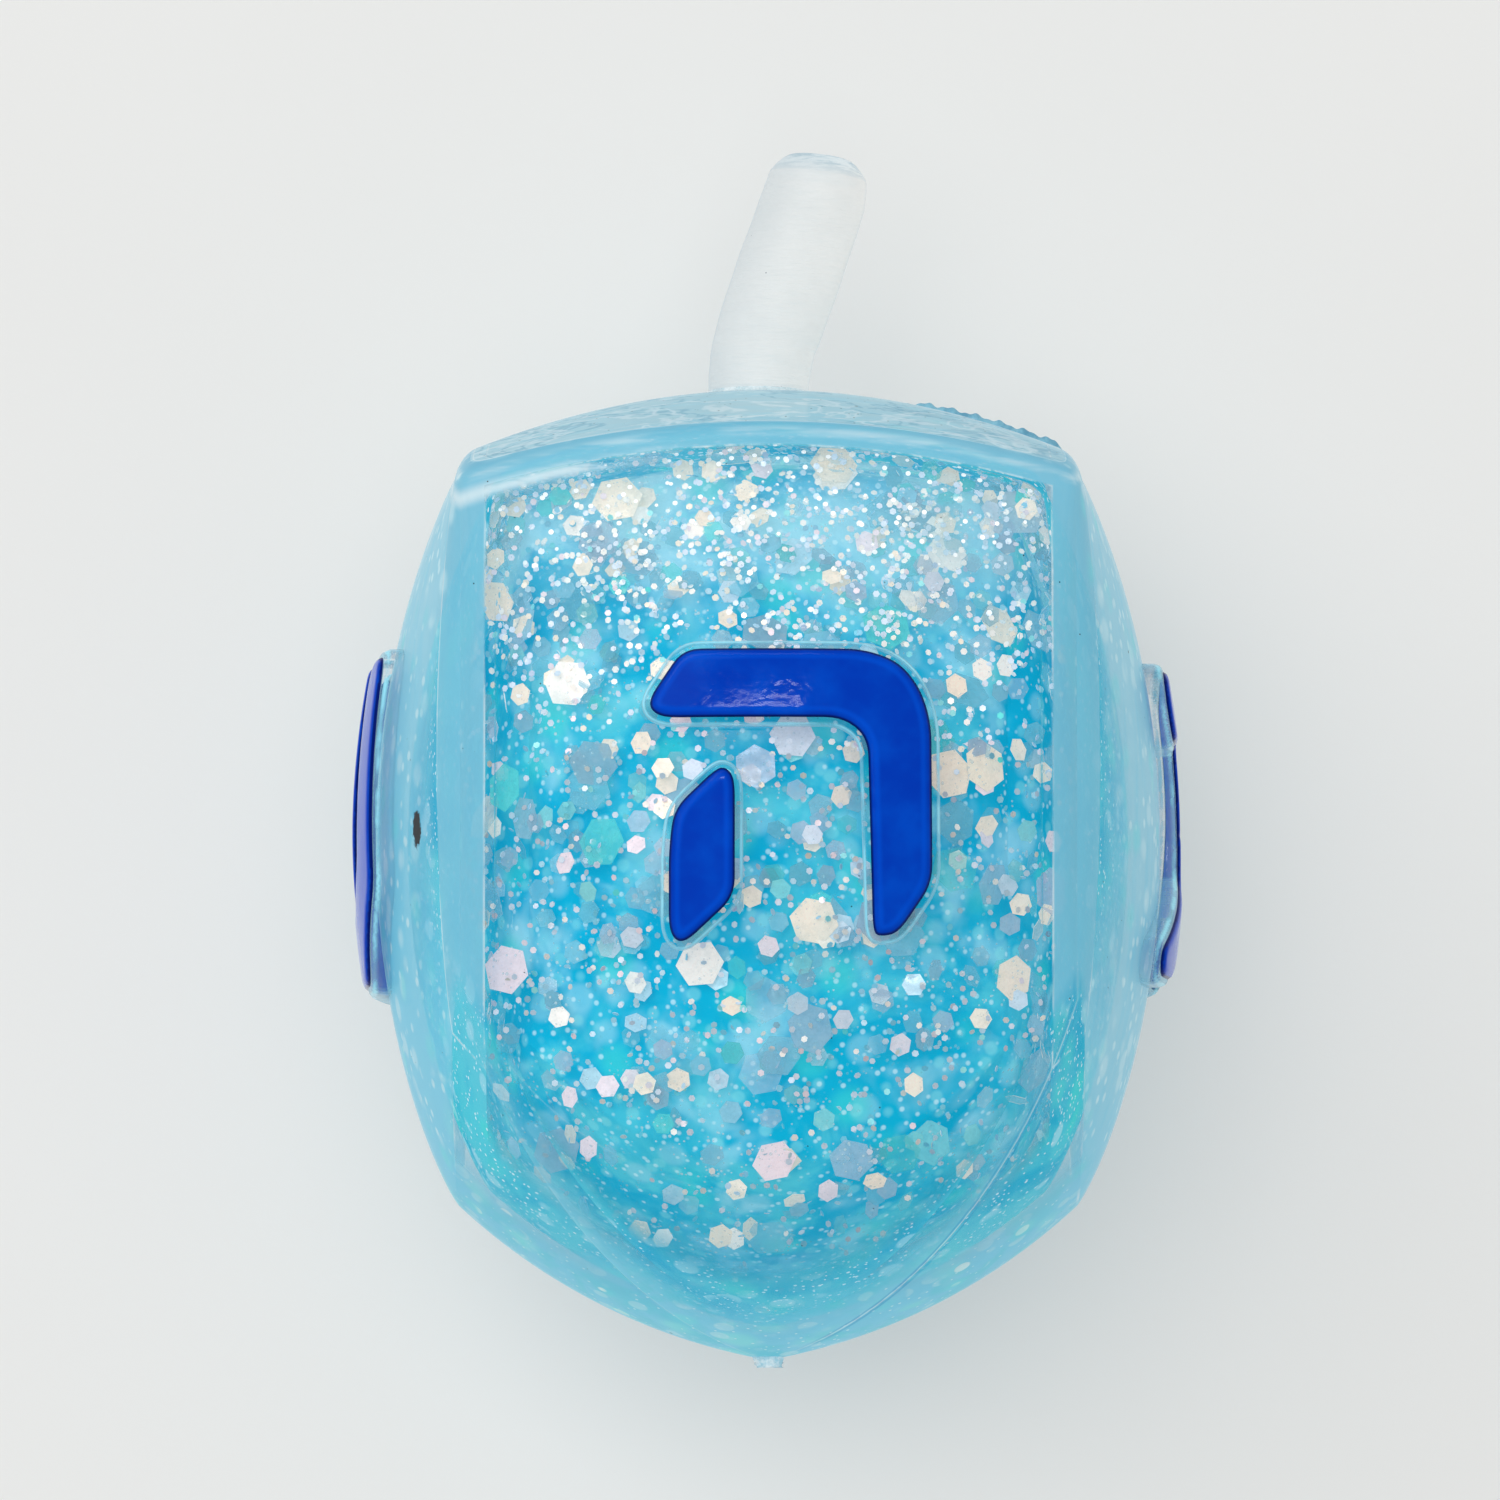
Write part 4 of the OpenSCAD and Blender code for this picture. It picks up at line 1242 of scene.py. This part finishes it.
class TOP_OT_stem(PieceMaker, bpy.types.Operator):
    """Adds the bent stem and the bond round its foot"""

    bl_idname = "glitter_top.stem"
    bl_label = "Stem"

    def execute(self, context):
        sizes, _, colours = self.settings(context)
        laid = Laying(sizes)
        self.add_stem(sizes, colours, laid)
        self.add_bond(sizes, laid)
        return {"FINISHED"}

    def add_stem(self, sizes, colours, laid):
        """Tube along the stem's line, with a root in the skin, a small waviness, a rounded bevel
        and a dimple in its cut end."""
        places, leans = stem_line(sizes, 26)
        share = np.linspace(0, 1, len(places))
        radii = sizes.stem_d / 2 + sizes.stem_swell / 2 * np.sin(math.pi * share)
        radii = radii * (1 + 0.006 * np.sin(share * 17) + 0.004 * np.sin(share * 41))
        lean, sides = leans[-1], 72
        ahead = np.array([math.sin(lean), math.cos(lean)])
        out, up, bevel = sizes.stem_d / 2, sizes.bevel_h, sizes.bevel_w
        dimple, deep = sizes.dimple_d / 2, sizes.dimple_depth
        profile = np.array([
            (out - 0.05 * MM, 0.12 * MM), (out - 0.3 * bevel, 0.42 * up),
            (out - 0.7 * bevel, 0.78 * up), (out - bevel, 0.95 * up), (out - 1.2 * bevel, up),
            (dimple + 0.1 * MM, up), (dimple, up - 0.05 * MM), (0.8 * dimple, up - 0.6 * deep),
            (0.4 * dimple, up - deep),
        ])
        root = np.array([[-sizes.stem_offset, sizes.crown_h - sizes.wall]])
        centres = in_order(root, places, places[-1] + profile[:, 1:] * ahead)
        leans = np.concatenate([[0], leans, np.full(len(profile), lean)])
        radii = np.concatenate([radii[:1], radii, profile[:, 0]])
        piece = ring_piece("bent_stem", laid(tube(centres, leans, radii, sides)))
        end = ramp(np.arange(len(radii)), len(places), len(places) + 3)
        set_values(piece, "end_share", np.repeat(end, sides), (0, 1))
        # Share of painted shade round the stem: 1 on the side towards the key lamp, 0 on the far side
        near = np.tile((1 - np.cos(turns(sides))) / 2, len(radii))
        set_values(piece, "painted_shade_side_share", near, (0, 0))
        dress(piece, stem_finish(colours), "stem_rubber", "stem")

    def add_bond(self, sizes, laid):
        """Hollow fillet turned round the stem's foot: its profile is a closed loop."""
        inner, level = sizes.stem_d / 2 - 0.02 * MM, sizes.crown_h
        wide, high, sunk = 0.9 * MM, 0.62 * MM, 0.25 * MM
        turn = np.linspace(0, math.pi / 2, 7)
        r = inner + wide * (1 - np.sin(turn))
        s = level - sunk + high * (1 - np.cos(turn))
        profile_r = np.concatenate([r, [inner, inner]])
        profile_s = np.concatenate([s, [s[-1], level - 2 * sunk]])
        around = turns(64)[:, None]
        rings = point_rows(
            profile_r * np.sin(around), profile_r * np.cos(around) - sizes.stem_offset, profile_s
        )
        count, width = rings.shape[:2]
        at = np.arange(count * width).reshape(count, width)
        right, up = np.roll(at, -1, axis=0), np.roll(at, -1, axis=1)
        faces = np.stack([at, right, np.roll(right, -1, axis=1), up], -1).reshape(-1, 4)
        piece = make_mesh("stem_seal", laid(rings).reshape(-1, 3), [faces])
        finish = clear_finish(
            "clear_bond", linear(176, 214, 226), linear(222, 234, 238), 0.3, 0.25
        )
        dress(piece, finish, "clear_bond", "stem_bond")


class TOP_OT_mould_marks(PieceMaker, bpy.types.Operator):
    """Adds the gate's nub and the flash that the mould left"""

    bl_idname = "glitter_top.mould_marks"
    bl_label = "Mould marks"

    def execute(self, context):
        sizes = self.settings(context)[0]
        laid, form = Laying(sizes), BodyForm(sizes)
        finish = clear_finish(
            "clear_trim", linear(140, 202, 222), linear(222, 234, 238), 0.45, 0.3
        )
        self.add_nub(form, laid, finish)
        self.add_flash(form, laid)
        return {"FINISHED"}

    def add_nub(self, form, laid, finish):
        """Torn stub at the tip: rings that shrink and wander a little at random."""
        rng = np.random.default_rng(11)
        rows, sides = 9, 24
        down = np.linspace(0, 1, rows)[:, None]
        around = turns(sides)
        ragged = 1 + 0.12 * rng.normal(0, 1, (rows, sides)) * down
        r = (1.05 - 0.3 * down) * MM * ragged
        rings = point_rows(
            r * 0.8 * np.sin(around), r * np.cos(around) + 0.1 * MM * down,
            form.tip_s + 0.12 * MM - (form.sizes.nub_len + 0.1 * MM) * down,
        )
        dress(ring_piece("gate_stub", laid(rings)), finish, "clear_skin", "gate_nub")

    def add_flash(self, form, laid):
        """Thin torn fin that stands on the dome along its parting line, to the right of the stem:
        its height is a sum of waves, and its foot is sunk in the skin."""
        b = np.linspace(8, 18.9, 120) * MM
        share = np.linspace(0, 1, len(b))
        teeth = 0.55 + 0.3 * share + 0.08 * np.sin(share * 44) + 0.05 * np.sin(share * 95 + 1)
        height = (teeth * np.minimum(np.minimum(share * 5, (1 - share) * 12), 1) ** 0.5) * MM
        thick, sunk = 0.3 * MM, 0.15 * MM
        foot = form.dome_level(np.zeros_like(b), b) - sunk
        rings = point_rows(
            np.array([-1, -0.5, 0.5, 1]) * thick, b[:, None],
            foot[:, None] + np.array([0, 1, 1, 0]) * (height + sunk)[:, None],
        )
        finish = clear_finish(
            "flash_trim", linear(128, 186, 206), linear(92, 150, 176), 0.75, 0.4
        )
        dress(ring_piece("mould_flash", laid(rings)), finish, "clear_skin")


class TOP_OT_stage(PieceMaker, bpy.types.Operator):
    """Adds the floor, the lights and the camera"""

    bl_idname = "glitter_top.stage"
    bl_label = "Stage"

    def execute(self, context):
        self.add_floor(self.settings(context)[2])
        for name, place, size, watts, hidden in (
            ("key", (-0.75, 0.6, 1.05), (1.1, 1.1), 5.2, None),
            ("overhead", (-0.1, 0.05, 1.3), (0.8, 0.8), 6.0, "visible_glossy"),
            ("window", (-0.33, 0.94, 0.85), (1.1, 0.45), 6.0, "visible_diffuse"),
            ("strip", (-0.03, 0.168, 0.62), (0.18, 0.04), 1.1, "visible_diffuse"),
        ):
            lamp = self.add_light(context, name, place, size, watts)
            if hidden:
                setattr(lamp, hidden, False)
        self.set_world(context)
        self.add_camera(context)
        context.scene.view_settings.view_transform = "Standard"
        return {"FINISHED"}

    def add_floor(self, colours):
        """Square of 2.4 m under the top, flat at the level of its lowest point."""
        line = np.linspace(-1.2, 1.2, 9)
        points = point_rows(line[:, None], line, CAD_LOW[2]).reshape(-1, 3)
        mesh = bpy.data.meshes.new("floor")
        mesh.from_pydata(points.tolist(), [], grid_cells(len(line)).tolist())
        floor = bpy.data.objects.new("floor", mesh)
        bpy.context.scene.collection.objects.link(floor)
        mesh.materials.append(floor_finish(colours))

    def add_light(self, context, name, place, size, watts):
        """Flat lamp that faces the top's middle."""
        lamp = bpy.data.lights.new(name, "AREA")
        lamp.shape = "RECTANGLE"
        lamp.size, lamp.size_y = size
        lamp.energy = watts
        thing = bpy.data.objects.new(name, lamp)
        thing.location = place
        aim = (CAD_LOW + CAD_HIGH) / 2 - thing.location
        thing.rotation_euler = aim.to_track_quat("-Z", "Y").to_euler()
        context.scene.collection.objects.link(thing)
        return thing

    def set_world(self, context):
        world = bpy.data.worlds.new("studio")
        world.use_nodes = True
        inputs = world.node_tree.nodes["Background"].inputs
        inputs["Color"].default_value = (1, 1, 1, 1)
        inputs["Strength"].default_value = 0.45
        context.scene.world = world

    def add_camera(self, context):
        """Camera of the photograph: nearly overhead, from a little below the tip."""
        target = (-1.125 * MM, 0.49 * MM, 24.8 * MM)
        distance, raised = 0.6, math.radians(85)
        lens = bpy.data.cameras.new("camera")
        lens.lens, lens.sensor_width = 230, 36
        lens.clip_start, lens.clip_end = 0.05, 10
        camera = bpy.data.objects.new("camera", lens)
        camera.location = (
            target[0], target[1] - distance * math.cos(raised),
            target[2] + distance * math.sin(raised),
        )
        camera.rotation_euler = (math.pi / 2 - raised, 0, 0)
        context.scene.collection.objects.link(camera)
        context.scene.camera = camera


OPERATORS = (
    TOP_OT_skin, TOP_OT_liquid, TOP_OT_glitter, TOP_OT_letters, TOP_OT_stem,
    TOP_OT_mould_marks, TOP_OT_stage,
)


class TOP_PT_panel(bpy.types.Panel):
    """Sizes, colours and buttons of the top"""

    bl_idname = "TOP_PT_panel"
    bl_label = "Glitter top"
    bl_space_type = "VIEW_3D"
    bl_region_type = "UI"
    bl_category = "Glitter top"

    def draw(self, context):
        for operator in OPERATORS:
            self.layout.operator(operator.bl_idname)
        for group in (context.scene.top_sizes, context.scene.top_glitter, context.scene.top_colours):
            box = self.layout.box()
            for name in group.bl_rna.properties.keys():
                if name not in ("rna_type", "name"):
                    box.prop(group, name)


GROUPS = {"top_sizes": TopSizes, "top_glitter": TopGlitter, "top_colours": TopColours}


def register():
    for cls in (*GROUPS.values(), *OPERATORS, TOP_PT_panel):
        bpy.utils.register_class(cls)
    for name, group in GROUPS.items():
        setattr(bpy.types.Scene, name, PointerProperty(type=group))


def unregister():
    for name in GROUPS:
        delattr(bpy.types.Scene, name)
    for cls in reversed((*GROUPS.values(), *OPERATORS, TOP_PT_panel)):
        bpy.utils.unregister_class(cls)


def main():
    """Makes every piece."""
    register()
    for operator in OPERATORS:
        family, name = operator.bl_idname.split(".")
        getattr(getattr(bpy.ops, family), name)()


if __name__ == "__main__":
    main()
